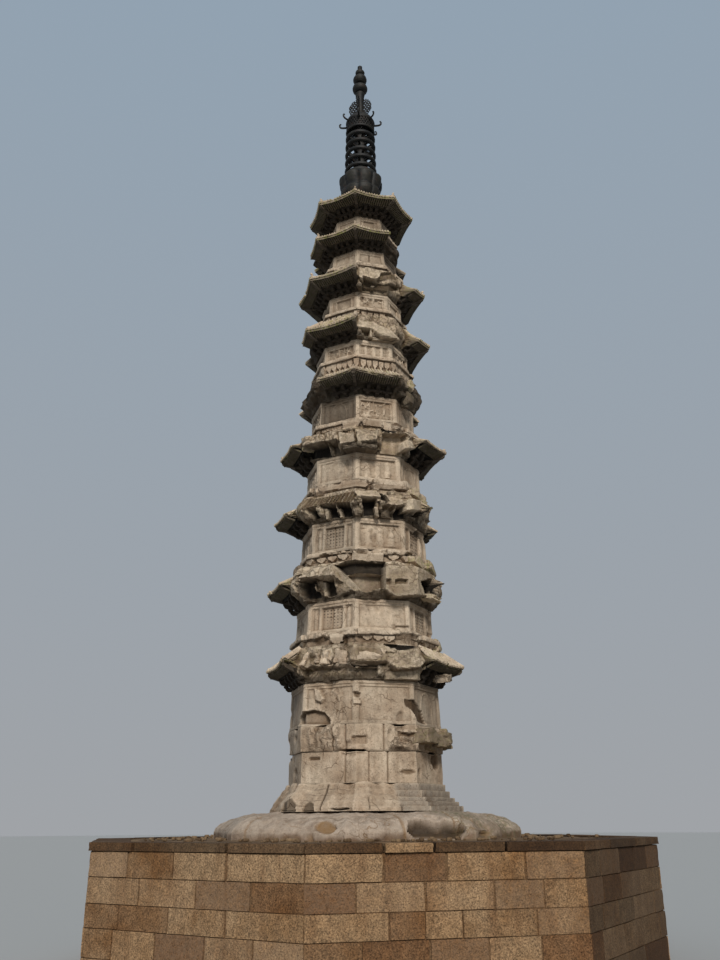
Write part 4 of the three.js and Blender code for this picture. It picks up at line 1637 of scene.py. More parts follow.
@dataclass
class Wall:
    """One storey's wall: corner pilasters, a lintel, a sill and the carvings on its sides."""

    level: int
    size: StoreySize
    carvings: dict[int, Carving]
    marks: tuple[Mark, ...] = ()
    forms: tuple[Form, ...] = ()
    # Painted shade by side, laid on as soot; a number below zero is painted light, as paler stone.
    side_shades: Mapping[int, float] = field(default_factory=dict)
    pilaster: float = 0.055
    pilaster_proud: float = 0.012
    lintel: float = 0.08
    sill: float = 0.07
    stud: tuple[float, float, float] = (0.011, 0.014, 0.011)

    def build(self, shop: Workshop) -> None:
        """Build the wall and its studs."""
        azimuths = station_azimuths(*((54, 22) if self.level <= WORN_LEVEL else (42, 18)))
        foot, top, low, high = self.size.foot, self.size.top, self.size.low, self.size.high
        rows = profile_rows(
            [(low - 0.04, foot - 0.004), (low, foot), (high, top), (high - 0.03, top + 0.004)], 0.0132,
        )
        base = course_points(rows, azimuths)
        heights = np.broadcast_to(rows[:, 1:2] - foot, base.shape[:2])
        radius = np.broadcast_to(rows[:, :1], base.shape[:2])
        relief, dark = self.carved(azimuths, radius, heights)
        cut, cut_dark = mark_relief(self.marks, azimuths, radius, heights + foot)
        rough = 0.007 * ROUGH.fractal(base, 0.25, 4) - 0.03 * smooth_step(
            0.5, 0.95, BLOCKY.fractal(base, 0.3, 3),
        )
        at_end = (rows[:, 1:2] > foot - 0.001) & (rows[:, 1:2] < top + 0.001)
        reach = np.linalg.norm(base[..., :2], axis=-1)
        surface = Shaped.build(self.forms, azimuths, reach, heights + foot)
        relief = (relief + cut) * (surface.radius == reach) + rough * surface.rough
        points = pushed(base, (relief + surface.radius - reach) * at_end)
        layers = weathering_and_shade(points, 0.8, 0.022)
        # Grooves, sunk panels and carving get painted shade, and the cut marks darken.
        layers["hollow"] = np.clip(layers["hollow"] * 0.7 + dark * 0.4 + cut_dark * 0.9, 0, 1)
        sides = side_of(azimuths)
        side_tone = 0.35 * ROUGH.value(polar(4.0, sides, np.full(azimuths.shape, foot * 3)), 1.0)
        # The top of the wall, under the eaves, is darkened: painted shade.
        shade_under_eaves = smooth_step(self.tall - 0.07, self.tall, heights)
        layers["tone"] = side_tone + 0.5 * ROUGH.fractal(points + 4, 0.5, 3) - 0.5 * shade_under_eaves
        layers["grey"] = left_grey(azimuths, points, 0.55)
        sooty = cut_dark * 0.5 + 0.35 * smooth_step(0.25, 0.9, ROUGH.fractal(points + 12, 0.35, 4))
        layers["soot"] = np.maximum(layers["soot"], sooty)
        # Painted shade by side through the soot layer; below zero, painted light as paler stone.
        for side, amount in self.side_shades.items():
            layers["soot"] = np.where(sides == side, np.maximum(layers["soot"], amount), layers["soot"])
            layers["tone"] = np.where(sides == side, layers["tone"] - min(amount, 0.0), layers["tone"])
        surface.stain_and_shade(layers)
        shop.rings(
            f"storey_{self.level}_carved_wall", Finish.WHITE_STONE, points, layers,
            (f"storey_{self.level}_wall",),
        )
        self.studs(shop)

    @property
    def tall(self) -> float:
        """Height of the wall."""
        return self.size.top - self.size.foot

    @property
    def half(self) -> float:
        """Half the width between the pilasters."""
        return self.size.high * math.sin(HALF_TURN) - self.pilaster

    def carved(
        self, azimuths: np.ndarray, radius: np.ndarray, heights: np.ndarray,
    ) -> tuple[np.ndarray, np.ndarray]:
        """The relief of the whole wall.

        Args:
            azimuths: Azimuths of the columns.
            radius: Corner radius of each point.
            heights: Heights above the wall's foot.

        Returns:
            Metres outwards, and how dark each point is, as painted shade in grooves, sunk panels and carving.
        """
        across = across_side(azimuths, radius)
        edge = radius * math.sin(HALF_TURN) - np.abs(across)
        column = np.sqrt(np.clip(1 - ((edge - 0.02) / (self.pilaster * 0.9)) ** 2, 0, 1))
        relief = -self.pilaster_proud + (self.pilaster_proud + 0.006) * column
        inside = edge > self.pilaster
        dark = 0.4 * bar(edge - self.pilaster - 0.006, 0.007)
        tall = self.tall
        relief = np.maximum(relief, (heights > tall - self.lintel) * 0.002)
        relief = np.maximum(relief, (heights > tall - 0.04) * 0.014)
        relief = np.maximum(relief, (heights < self.sill * 0.6) * 0.010)
        dark = np.maximum(dark, 0.4 * bar(heights - tall + self.lintel, 0.006))
        sides = np.broadcast_to(side_of(azimuths), across.shape)
        for side, carving in self.carvings.items():
            chosen = (sides == side) & inside & (heights < tall - self.lintel) & (heights > self.sill * 0.6)
            shape, shade = self.pattern(carving, across, heights, side)
            shade = shade * (0.4 if carving is Carving.FIGURES else 0.9)
            relief = np.where(chosen, -self.pilaster_proud + shape, relief)
            dark = np.where(chosen, np.maximum(dark, shade), dark)
        return relief, dark

    def pattern(
        self, carving: Carving, x: np.ndarray, y: np.ndarray, side: int,
    ) -> tuple[np.ndarray, np.ndarray]:
        """One side's carving.

        Args:
            carving: Which carving.
            x: Metres across the side.
            y: Metres above the wall's foot.
            side: Azimuth of the side, which varies the pattern.

        Returns:
            Metres outwards from the side's face, and how dark each point is.
        """
        half, tall = self.half, self.tall
        low, high = 0.05 * tall, 0.80 * tall
        shape, shade = np.zeros(x.shape), np.zeros(x.shape)
        if carving is Carving.STUDDED_DOOR:
            door = box(x, y, -0.52 * half, 0.52 * half, low, high)
            frame_band = box(x, y, -0.62 * half, 0.62 * half, low, high + 0.03) - door
            shape += 0.012 * frame_band - 0.022 * door
            shade += 0.35 * door + 0.6 * door * bar(x, 0.007)
            shape -= 0.012 * door * bar(x, 0.007)
            for place in (-0.81, 0.81):
                panel = box(x, y, (place - 0.14) * half, (place + 0.14) * half, low + 0.03, high)
                oval = mound(x, y, place * half, (low + high) / 2, 0.10 * half, 0.33 * tall)
                shape += -0.012 * panel + 0.014 * oval
                shade += 0.35 * panel * (oval <= 0)
        elif carving is Carving.WORN_ARCH:
            spring = low + 0.45 * (high - low)
            beside = x / (0.5 * half)
            ring = np.where(y < spring, np.abs(beside), np.hypot(beside, (y - spring) / (high - spring)))
            shape += 0.010 * bar(ring - 1, 0.06, 0.06)
            shade += 0.35 * bar(ring - 0.9, 0.025, 0.03)
            for place in (-0.8, 0.8):
                shape += 0.008 * box(x, y, (place - 0.12) * half, (place + 0.12) * half, low, high)
        elif carving is Carving.FIGURES:
            panel = box(x, y, -0.94 * half, 0.94 * half, low, high + 0.02)
            shape -= 0.014 * panel
            shade += 0.35 * panel
            for rank, place in enumerate((-0.56, 0.0, 0.56)):
                lift = 0.04 * tall * (rank - 1)
                body = figure_relief(x, y, place * half, low + 0.02 + max(0.0, lift), 0.62 * tall)
                shape += body
                shade = np.where(body > 0.006, 0.0, shade)
            lines = panel * (1 - smooth_step(0.0, 0.12, np.abs(self.curls(x, y, side, 0.045))))
            shape -= 0.008 * lines
            shade += 0.5 * lines
        elif carving is Carving.SCROLLS:
            panel = box(x, y, -0.9 * half, 0.9 * half, low, high)
            ridge = smooth_step(0.0, 0.22, 0.22 - np.abs(self.curls(x, y, side, 0.05)))
            shape += panel * (-0.016 + 0.024 * ridge)
            shade += panel * 0.7 * (1 - ridge)
        elif carving is Carving.PANEL:
            panel = box(x, y, -0.66 * half, 0.66 * half, low + 0.03, high)
            border = box(x, y, -0.76 * half, 0.76 * half, low, high + 0.03) - panel
            shape += -0.012 * panel + 0.008 * border
            shade += 0.18 * panel
            shape += 0.018 * mound(x, y, 0.0, low + 0.05, 0.3 * half, 0.05) * panel
        return shape, shade

    def curls(self, x: np.ndarray, y: np.ndarray, side: int, size: float) -> np.ndarray:
        """Winding bands for scrollwork, between -1 and 1 and different on each side."""
        return ROUGH.value(np.stack([x + side, y, y * 0 + self.level], axis=-1), size)

    def studs(self, shop: Workshop) -> None:
        """Rows of small round studs on the doors."""
        out = (self.size.low + self.size.high) / 2 * math.cos(HALF_TURN) - self.pilaster_proud - 0.026
        places = [
            place_on_side(side, float(column), out, self.size.foot + float(row), self.stud, soot=0.75)
            for side, carving in self.carvings.items() if carving is Carving.STUDDED_DOOR
            for column in np.linspace(-0.42, 0.42, 6) * self.half
            for row in np.linspace(0.12, 0.72, 7) * self.tall
        ]
        stud = template("stud", lathe_part([(1.0, 0.0), (0.95, -0.45), (0.6, -0.85), (0.15, -1.0)], 8, "y"))
        shop.copies(f"storey_{self.level}_door_studs", Finish.WHITE_STONE, places, [stud])


class EavesShapes:
    """Templates of the parts that repeat along the eaves."""

    @staticmethod
    def roll() -> bpy.types.Object:
        """A half-round tile roll with a round end: its outer end is at the origin."""
        ring = [(math.cos(a), math.sin(a)) for a in np.linspace(-0.35, math.pi + 0.35, 8)]
        vertices = [(x, y, z) for y in (0.0, 1.0) for x, z in ring]
        faces = [(k, k + 1, k + 9, k + 8) for k in range(7)] + [(7, 0, 8, 15)]
        faces += [tuple(range(8)), tuple(range(8, 16))]
        return template("roll", (vertices, faces))

    @staticmethod
    def rafter() -> bpy.types.Object:
        """A rafter with a rounded nose."""
        outline = [(1.0, 0.0), (1.0, -1.0), (0.12, -1.0), (0.03, -0.7), (0.0, -0.25), (0.0, 0.0)]
        return template("rafter", extruded_part(outline, -0.5, 0.5))

    @staticmethod
    def bracket() -> bpy.types.Object:
        """A bracket set: two stepped arms, a cross arm with turned-up ends and its blocks."""
        lower = [(0.0, 0.0), (-0.34, 0.0), (-0.47, 0.1), (-0.52, 0.3), (0.0, 0.3)]
        upper = [(0.0, 0.42), (-0.62, 0.42), (-0.84, 0.5), (-0.95, 0.68), (-0.95, 0.8), (0.0, 0.8)]
        block = [(-0.30, 0.3), (-0.62, 0.3), (-0.58, 0.42), (-0.34, 0.42)]
        cap = [(-0.78, 0.8), (-1.0, 0.8), (-1.04, 1.0), (-0.72, 1.0)]
        underside = ((-1.5, 0.42), (-1.35, 0.3), (-0.6, 0.22), (0.6, 0.22), (1.35, 0.3), (1.5, 0.42))
        cross = []
        for x, low in underside:
            cross += [(x, -0.36, low), (x, -0.56, low), (x, -0.56, 0.5), (x, -0.36, 0.5)]
        widths = ((lower, 0.5), (upper, 0.45), (block, 0.75), (cap, 0.8))
        arms = [extruded_part(outline, -half, half) for outline, half in widths]
        return template("bracket", *arms, (cross, tube_faces(len(underside), 4)))

    @staticmethod
    def crouching_beast() -> bpy.types.Object:
        """The small upright ornament on a corner's tip: a rounded body, neck and head that lean out."""
        outline = [
            (0.34, 0.0), (0.5, 0.12), (0.5, 0.34), (0.33, 0.5),
            (0.26, 0.62), (0.34, 0.74), (0.32, 0.88), (0.12, 1.0),
        ]
        vertices, faces = lathe_part(outline, 8)
        leaned = [(x, y * 1.3 - 0.35 * z * z, z) for x, y, z in vertices]
        return template("beast", (leaned, faces))

    @staticmethod
    def corbel() -> bpy.types.Object:
        """A balcony's bracket block: a broad lobe seen from the front, drawn in towards its foot."""
        half = [(0.5, 1.0), (0.5, 0.62), (0.4, 0.36), (0.2, 0.22), (0.13, 0.0)]
        outline = [half[0]] + [(-y, z) for y, z in half] + half[:0:-1]
        vertices, faces = extruded_part(outline, -0.5, 0.5)
        turned = [(y, -x * (0.35 + 0.65 * min(1.0, z / 0.6)) if x > 0 else -x, z) for x, y, z in vertices]
        return template("corbel", (turned, faces))


@dataclass
class Eaves:
    """One storey's eaves: soffit, tile edge and roof, broken back where stones have fallen."""

    level: int
    size: StoreySize
    breaks: tuple[Break, ...]
    forms: tuple[Form, ...] = ()
    tile_edge: float = 0.055
    corner_rise: float = 0.018
    corner_sweep: float = 0.03
    roll_pitch: float = 0.047
    roll_radius: float = 0.0185
    rafter_pitch: float = 0.038

    def build(self, shop: Workshop) -> None:
        """Build the body and everything that repeats along it."""
        self.body(shop)
        repeated = (
            ("tile_rolls", self.roll_places(), EavesShapes.roll(), 0.0, 0.0),
            ("rafters", self.rafter_places(), EavesShapes.rafter(), 0.0, 0.01),
            ("brackets", self.bracket_places(), EavesShapes.bracket(), 0.04, 0.015),
            ("corner_beasts", self.beast_places(), EavesShapes.crouching_beast(), 0.12, 0.1),
        )
        for part, places, shape, size_spread, turn_spread in repeated:
            shop.copies(
                f"storey_{self.level}_{part}", Finish.WHITE_STONE, places, [shape],
                size_spread=size_spread, turn_spread=turn_spread, seed=self.level,
            )

    @property
    def edge_low(self) -> float:
        """Height of the tile edge's underside at the middle of a side."""
        return self.size.tip_top - self.tile_edge - self.corner_rise

    @property
    def edge_high(self) -> float:
        """Height of the tile edge's top at the middle of a side."""
        return self.edge_low + self.tile_edge

    def keep(self, azimuths: np.ndarray) -> np.ndarray:
        """The share of the overhang that is left."""
        return kept(self.breaks, azimuths, self.size.tip_top * 3)

    def is_whole_at(self, azimuth: float) -> bool:
        """Whether the eaves are unbroken at one azimuth."""
        return float(self.keep(np.array([azimuth]))[0]) >= WHOLE

    def is_whole(self, side: float, across: float, out: float) -> bool:
        """Whether the eaves are unbroken at a place on a side."""
        azimuth = side + math.degrees(math.atan2(across, out))
        near = np.array([azimuth - 1.5, azimuth, azimuth + 1.5])
        return bool(self.keep(near).min() > WHOLE)

    def edge_out(self, across: float) -> float:
        """Distance of the tile edge from the axis, square to a side."""
        apothem = self.size.tip * math.cos(HALF_TURN)
        share = min(1.0, abs(math.degrees(math.atan2(across, apothem))) / HALF_SIDE)
        return apothem * (1 - self.corner_sweep * (1 - share * share))

    def edge_rise(self, across: float, out: float) -> float:
        """How much the edge has risen towards the corner."""
        share = min(1.0, abs(math.degrees(math.atan2(across, out))) / HALF_SIDE)
        return self.corner_rise * share * share

    def body(self, shop: Workshop) -> None:
        """The solid course: whole and broken stretches in one mesh."""
        azimuths = station_azimuths(72 if self.level <= FINE_LEVEL else 56, 23)
        size = self.size
        share, corner = octagon_share(azimuths), corner_share(azimuths) ** 2
        keep = self.keep(azimuths)
        wall, deck = size.high * share, size.deck * share
        full = size.tip * share * (1 - self.corner_sweep * (1 - corner))
        rise = self.corner_rise * corner
        low, high = self.edge_low, self.edge_high
        hang = low - size.top
        level = np.ones(azimuths.shape)

        def reach(part: float) -> np.ndarray:
            """Radius at a share of the way from the wall to the edge."""
            return wall + (full - wall) * part

        # Radius, height, and the number of rows up to the next pair.
        whole = [
            (wall - 0.01, size.top * level, 1),
            (wall + 0.012, size.top * level, 3),
            (wall + 0.02, (size.top + 0.5 * hang) * level, 2),
            (wall + 0.06, (size.top + 0.78 * hang) * level, 6),
            (reach(0.46), (size.top + 0.86 * hang) * level, 2),
            (reach(0.5), (size.top + 0.72 * hang) * level, 2),
            (reach(0.56), (size.top + 0.86 * hang) * level, 6),
            (reach(0.97), low + 0.012 + rise, 1),
            (full, low + rise, 5),
            (full, high + rise, 2),
            (reach(0.9), high + rise + 0.012, 6),
            (deck + (full - deck) * 0.45, high + (size.deck_top - high) * 0.4 * level, 6),
            (deck, size.deck_top * level, 0),
        ]
        radius, height = [whole[0][0]], [whole[0][1]]
        for (r0, z0, steps), (r1, z1, _) in zip(whole[:-1], whole[1:]):
            for step in range(1, steps + 1):
                radius.append(r0 + (r1 - r0) * step / steps)
                height.append(z0 + (z1 - z0) * step / steps)
        radius, height = np.array(radius), np.array(height)
        broken_radius, broken_height, gaps = self.fracture(azimuths, keep, wall, full, deck, len(radius))
        surface = Shaped.build(self.forms, azimuths, broken_radius, broken_height)
        broken_radius = surface.radius
        is_broken = (keep < WHOLE)[None, :]
        radius = np.where(is_broken, broken_radius, radius)
        height = np.where(is_broken, broken_height, height)
        points = polar(radius, azimuths, height)
        inside = np.ones(len(radius))[:, None]
        inside[:2] = inside[-1:] = 0
        bumps, creases = lumps(points, 0.13)
        lumpy, worn = (0.026, 0.010) if self.level <= LARGE_LEVEL else (0.012, 0.004)
        rough = 0.03 * ROUGH.fractal(points, 0.24, 4) + lumpy * bumps
        rough = np.where(is_broken, rough * surface.rough, worn * ROUGH.fractal(points, 0.12, 3)) * inside
        if self.level <= WORN_LEVEL:
            at_edge = (np.arange(len(radius)) > SOFFIT_ROW)[:, None] & ~is_broken
            rough = rough - 0.055 * np.abs(ROUGH.fractal(points + 7, 0.11, 3)) * at_edge * inside
        points = pushed(points, rough)
        layers = weathering_and_shade(points, 1.0, 0.04)
        rows = np.arange(len(radius))[:, None]
        is_front = (rows > EDGE_ROW) & (rows < EDGE_TOP_ROW) & ~is_broken
        is_edge = (rows > EDGE_ROW) & (rows < MOSS_ROW) & ~is_broken
        growth = 0.9 if self.level > SHADED_EDGE_LEVEL else 0.5
        layers["moss"] = np.where(
            is_edge, np.clip(growth + 0.8 * ROUGH.fractal(points + 6, 0.3, 3), 0, 1), 0.25,
        )
        layers["moss"] = np.where(is_broken, 0.12, layers["moss"])
        # Painted shade: the tile edge's front is darkened, and the soffit under it made near black.
        front = 0.62 if self.level <= SHADED_EDGE_LEVEL else 0.52
        under = 0.86 if self.level > LARGE_LEVEL else 1.0
        sooty = np.where(rows <= EDGE_ROW, under, np.where(is_front, front, layers["soot"] * 0.2))
        # Creases in the broken stone get painted shade.
        creases = creases * np.clip(surface.rough, 0, 1) * is_broken
        layers["hollow"] = np.maximum(layers["hollow"], creases * 0.8)
        # In broken stretches the part near the wall top gets painted shade, and each break its own soot and
        # painted shade.
        part = (broken_height - size.top) / (size.deck_top - size.top)
        low_soot = 0.75 * (1 - smooth_step(0.10, 0.30, part))
        black = break_soot_and_shade(self.breaks, azimuths) * np.ones(part.shape)
        broken_soot = np.maximum.reduce([layers["soot"] * 0.6, gaps * 0.5, low_soot, black])
        layers["soot"] = np.where(is_broken, broken_soot, sooty)
        layers["broken"] = is_broken * np.clip(surface.rough, 0, 1)
        layers["tone"] = np.where(is_broken, 0.7, 0.35) * ROUGH.fractal(points + 4, 0.3, 3)
        if self.forms:
            stained = dict(layers)
            surface.stain_and_shade(stained)
            layers = {key: np.where(is_broken, stained[key], layers[key]) for key in layers}
        name = f"storey_{self.level}_eaves"
        shop.rings(name + "_stone", Finish.WHITE_STONE, points, layers, (name,))

    def fracture(
        self, azimuths: np.ndarray, keep: np.ndarray, wall: np.ndarray, full: np.ndarray, deck: np.ndarray,
        count: int
    ) -> tuple[np.ndarray, np.ndarray, np.ndarray]:
        """The broken stretches: courses of squared stones, each broken off at its own length.

        Args:
            azimuths: Azimuths of the columns.
            keep: Share of the overhang that is left.
            wall: Radius of the wall below.
            full: Radius of the whole edge.
            deck: Radius of the roof's top.
            count: Rows of the mesh.

        Returns:
            Radius, height, and how dark the gaps are.
        """
        size = self.size
        rng = np.random.default_rng(100 + self.level)
        part = np.linspace(0, 1, count)[:, None]
        height = size.top + (size.deck_top - size.top) * part * np.ones(azimuths.shape)
        reach = (full - wall) * np.minimum(keep, 0.8)
        outline = np.interp(part, [0, 0.14, 0.32, 0.5, 0.75, 1.0], [0.12, 0.35, 0.85, 1.0, 0.7, 0.0])
        radius = wall + reach * outline + (deck - wall) * part
        wander = 0.07 * ROUGH.value(polar(1.2, azimuths, np.zeros(azimuths.shape)), 0.4)
        bounds = np.array([0.0, 0.2, 0.42, 0.7, 1.01])
        layer = np.searchsorted(bounds, np.clip(part + wander, 0, 1), side="right") - 1
        arc = azimuths / 360 * 2 * math.pi * 1.2
        shift, gaps = np.zeros(radius.shape), np.zeros(radius.shape)
        for rank in range(len(bounds) - 1):
            length = rng.uniform(0.28, 0.62)
            bent = arc / length + rng.uniform(0, 1) + 0.1 * ROUGH.value(polar(1.2, azimuths, height), 0.2)
            cell = np.floor(bent).astype(int) % 64
            amounts, leans = rng.uniform(-1, 1, 64), rng.uniform(-1, 1, 64)
            along = bent % 1
            joint = np.minimum(along, 1 - along) * length < 0.010
            chosen = layer == rank
            shift = np.where(chosen, amounts[cell] + leans[cell] * (along - 0.5), shift)
            gaps = np.where(chosen & joint, 1.0, gaps)
        edge_gap = np.abs(part + wander - bounds[np.clip(layer, 0, 4)]) * (size.deck_top - size.top) < 0.007
        gaps = np.maximum(gaps, edge_gap * 0.7)
        fade = np.clip(np.minimum(part, 1 - part) * 9, 0, 1)
        radius = radius + ((0.05 if self.level <= LARGE_LEVEL else 0.025) * shift - 0.010 * gaps) * fade
        return np.maximum(radius, wall - 0.02), height, gaps * fade

    def roll_places(self) -> list[Place]:
        """The tile rolls of every side, and the ridge on each corner."""
        size, rolls, ridges = self.size, [], []
        rng = np.random.default_rng(200 + self.level)
        deck = size.deck * math.cos(HALF_TURN)
        bend_height = self.edge_high + (size.deck_top - self.edge_high) * 0.4
        half = size.tip * math.sin(HALF_TURN)
        count = int(2 * half / self.roll_pitch)
        for side in SIDE_AZIMUTHS:
            for across in np.linspace(-half + 0.02, half - 0.02, count):
                out = self.edge_out(float(across))
                if not self.is_whole(side, float(across), out) or rng.random() < 0.04:
                    continue
                bend = deck + (out - deck) * 0.45
                start = self.edge_high + self.edge_rise(float(across), out) - 0.006
                rolls += self.slope(side, float(across), out + 0.016, start - 0.006, bend, bend_height, rng)
                rolls += self.slope(side, float(across), bend, bend_height, deck, size.deck_top, rng)
            azimuth = side + HALF_SIDE
            if self.is_whole_at(azimuth):
                tip = size.tip - 0.01
                length = math.hypot(tip - size.deck, size.deck_top - size.tip_top)
                pitch = math.degrees(math.atan2(size.deck_top - size.tip_top, tip - size.deck))
                ridges.append(
                    place_on_side(
                        azimuth, 0.0, tip, size.tip_top - 0.012, (0.034, length, 0.045), pitch=pitch,
                        tone=0.3,
                    )
                )
        return rolls + ridges

    def slope(
        self, side: int, across: float, out: float, height: float, inner: float, inner_height: float,
        rng: np.random.Generator
    ) -> list[Place]:
        """One roll on one slope, cut off at the corner's ridge."""
        stop = max(inner, abs(across) / math.tan(HALF_TURN))
        if out - stop < 0.03:
            return []
        rise = (inner_height - height) / (out - inner)
        length = (out - stop) * math.hypot(1.0, rise)
        radius = self.roll_radius * rng.uniform(0.9, 1.12)
        tone = float(rng.uniform(-0.1, 0.9))
        growth = (0.1, 0.7) if self.level > WORN_LEVEL else (0.0, 0.4)
        return [
            place_on_side(
                side, across, out, height, (radius, length, radius * 1.25),
                pitch=math.degrees(math.atan(rise)), tone=tone, moss=float(rng.uniform(*growth)),
            )
        ]

    def rafter_places(self) -> list[Place]:
        """The rafters under the outer half of the soffit, and the large one under each corner."""
        places = []
        size = self.size
        hang = self.edge_low - size.top
        wall = size.high * math.cos(HALF_TURN)
        half = size.tip * math.sin(HALF_TURN)
        count = int(2 * half / self.rafter_pitch)
        for side in SIDE_AZIMUTHS:
            for across in np.linspace(-half + 0.03, half - 0.03, count):
                out = self.edge_out(float(across)) - 0.02
                if not self.is_whole(side, float(across), out):
                    continue
                inner = max(wall + (out - wall) * 0.62, abs(float(across)) / math.tan(HALF_TURN))
                if out - inner < 0.02:
                    continue
                low = self.edge_low + self.edge_rise(float(across), out) + 0.014
                fall = (size.top + 0.86 * hang - low) / (out - inner)
                # Rafters are darkened with painted shade under the eaves.
                places.append(
                    place_on_side(
                        side, float(across), out, low, (0.021, (out - inner) * math.hypot(1, fall), 0.026),
                        pitch=math.degrees(math.atan(fall)), soot=0.8, moss=0.5,
                    )
                )
            azimuth = side + HALF_SIDE
            if self.is_whole_at(azimuth):
                start, low = size.tip - 0.02, size.tip_top - self.tile_edge + 0.012
                fall = (size.top + 0.6 * hang - low) / (start - size.high)
                # The corner rafter gets the same painted shade.
                places.append(
                    place_on_side(
                        azimuth, 0.0, start, low, (0.05, (start - size.high) * math.hypot(1, fall), 0.055),
                        pitch=math.degrees(math.atan(fall)), soot=0.85,
                    )
                )
        return places

    def bracket_places(self) -> list[Place]:
        """The bracket sets between the wall and the soffit."""
        size, places = self.size, []
        hang = self.edge_low - size.top
        for side in SIDE_AZIMUTHS:
            half = size.high * math.sin(HALF_TURN)
            spots = [(side, across * half, math.cos(HALF_TURN)) for across in (-0.5, 0.0, 0.5)]
            spots.append((side + HALF_SIDE, 0.0, 1.0))
            for azimuth, across, share in spots:
                centre = azimuth + math.degrees(math.atan2(across, size.high * share))
                if not self.is_whole_at(centre):
                    continue
                wall, edge = size.high * share, size.tip * share * (1 if share == 1.0 else 0.975)
                extent = (0.055, (edge - wall) * 0.52, 0.86 * hang)
                # Bracket sets are darkened with painted shade under the eaves.
                places.append(place_on_side(azimuth, across, wall, size.top, extent, soot=0.93, tone=-0.6))
        return places

    def beast_places(self) -> list[Place]:
        """The ornaments that still stand on the corners."""
        places = []
        rng = np.random.default_rng(300 + self.level)
        for k in range(SIDES):
            azimuth = HALF_SIDE + k * SIDE_ANGLE
            is_seen = azimuth in (22.5, 292.5, 337.5)
            if not self.is_whole_at(azimuth) or (not is_seen and rng.random() < 0.45):
                continue
            tall = 0.11 if self.level > FINE_LEVEL else 0.08
            out, height = self.size.tip - 0.045, self.size.tip_top - 0.012
            places.append(place_on_side(azimuth, 0.0, out, height, (0.05, 0.06, tall), tone=0.7))
        return places


@dataclass
class Balcony:
    """The band of bracket blocks under a storey and the thin floor slab on it."""

    level: int
    size: StoreySize
    below: StoreySize
    breaks: tuple[Break, ...] = ()
    forms: tuple[Form, ...] = ()
    overhang: float = 0.10
    slab: float = 0.07
    pitch: float = 0.155

    def build(self, shop: Workshop) -> None:
        """Build the band, its slab and the blocks."""
        azimuths = station_azimuths(70 if self.level <= FINE_LEVEL else 54, 22)
        foot, low = self.size.foot, self.size.low
        under = foot - self.slab
        start = self.below.deck_top
        edge = low + self.overhang
        outline = [
            (self.below.deck - 0.015, start), (low + 0.01, start + 0.012), (low + 0.005, under - 0.03),
            (low + 0.045, under - 0.02), (low + 0.06, under - 0.002), (edge - 0.006, under),
            (edge, under + 0.012), (edge - 0.004, foot - 0.016), (edge - 0.02, foot),
            (low - 0.06, foot + 0.002),
        ]
        rows = profile_rows(outline, 0.0225)
        keep = kept(self.breaks, azimuths, foot * 5)
        beyond = np.maximum(rows[:, :1] - (low + 0.004), 0)
        radius = (rows[:, :1] - beyond * (1 - keep)) * octagon_share(azimuths)
        surface = Shaped.build(self.forms, azimuths, radius, rows[:, 1:2] * np.ones(radius.shape))
        held = np.zeros((len(rows), 1), dtype=bool)
        held[:1] = held[-2:] = True
        base = polar(np.where(held, radius, surface.radius), azimuths, rows[:, 1:2])
        inside = np.ones((len(rows), 1))
        inside[:1] = inside[-2:] = 0
        amount = np.where(keep < WHOLE, 0.022, 0.009)
        chips = smooth_step(0.42, 0.8, BLOCKY.fractal(base, 0.26, 3))
        rough = amount * ROUGH.fractal(base, 0.2, 4) - 0.05 * chips
        bumps, creases = lumps(base, 0.11)
        worn = np.clip(1.4 - keep, 0.35, 1) * surface.rough
        points = pushed(base, (rough * surface.rough + 0.022 * bumps * worn) * inside)
        layers = weathering_and_shade(points, 0.75, 0.03)
        # Creases in the worn stone get painted shade.
        layers["hollow"] = np.maximum(layers["hollow"], creases * worn * 0.7)
        layers["broken"] = 0.8 * np.clip(worn, 0, 1) * np.ones(points.shape[:2])
        height = base[..., 2] - PLATFORM_TOP
        # The recess between the roof below and the slab is darkened: painted shade.
        recess = (height < under - 0.02) & (height > start + 0.02)
        layers["hollow"] = np.maximum(layers["hollow"], recess * (0.62 + 0.2 * ROUGH.fractal(points, 0.1, 2)))
        layers["tone"] = 0.5 * ROUGH.fractal(points + 4, 0.35, 3) + 0.25 * (height > under)
        layers["grey"] = left_grey(azimuths, points, 0.5)
        surface.stain_and_shade(layers)
        name = f"storey_{self.level}_balcony"
        shop.rings(name + "_stone", Finish.WHITE_STONE, points, layers, (name,))
        shop.copies(
            name + "_corbels", Finish.WHITE_STONE, self.corbel_places(start, under), [EavesShapes.corbel()],
            size_spread=0.06, turn_spread=0.02, seed=self.level,
        )

    def corbel_places(self, start: float, under: float) -> list[Place]:
        """Blocks between the roof below and the floor slab."""
        rng = np.random.default_rng(400 + self.level)
        low = self.size.low
        half = low * math.sin(HALF_TURN)
        pitch = self.pitch if self.level <= LARGE_LEVEL else 0.09
        count = max(3, int(2 * half / pitch))
        places = []
        for side in SIDE_AZIMUTHS:
            for k in range(count + 1):
                across = -half + 2 * half * k / count
                azimuth = side + math.degrees(math.atan2(across, low * math.cos(HALF_TURN)))
                left = float(kept(self.breaks, np.array([azimuth]), self.size.foot * 5)[0])
                if k == count or left < 0.6 or rng.random() < 0.06:
                    continue
                is_corner = k == 0
                turn, at = (side - HALF_SIDE, 0.0) if is_corner else (side, across)
                out = low * (1.0 if is_corner else math.cos(HALF_TURN)) + 0.012
                tone = float(rng.uniform(-0.1, 0.8))
                part = 0.55 if self.level <= LARGE_LEVEL else 0.68
                tall = (under - start) * part * rng.uniform(0.86, 1.0)
                size = (pitch * rng.uniform(0.88, 1.0), 0.085, tall)
                places.append(place_on_side(turn, at, out, under - 0.01 - tall, size, tone=tone))
        return places


# Finial.


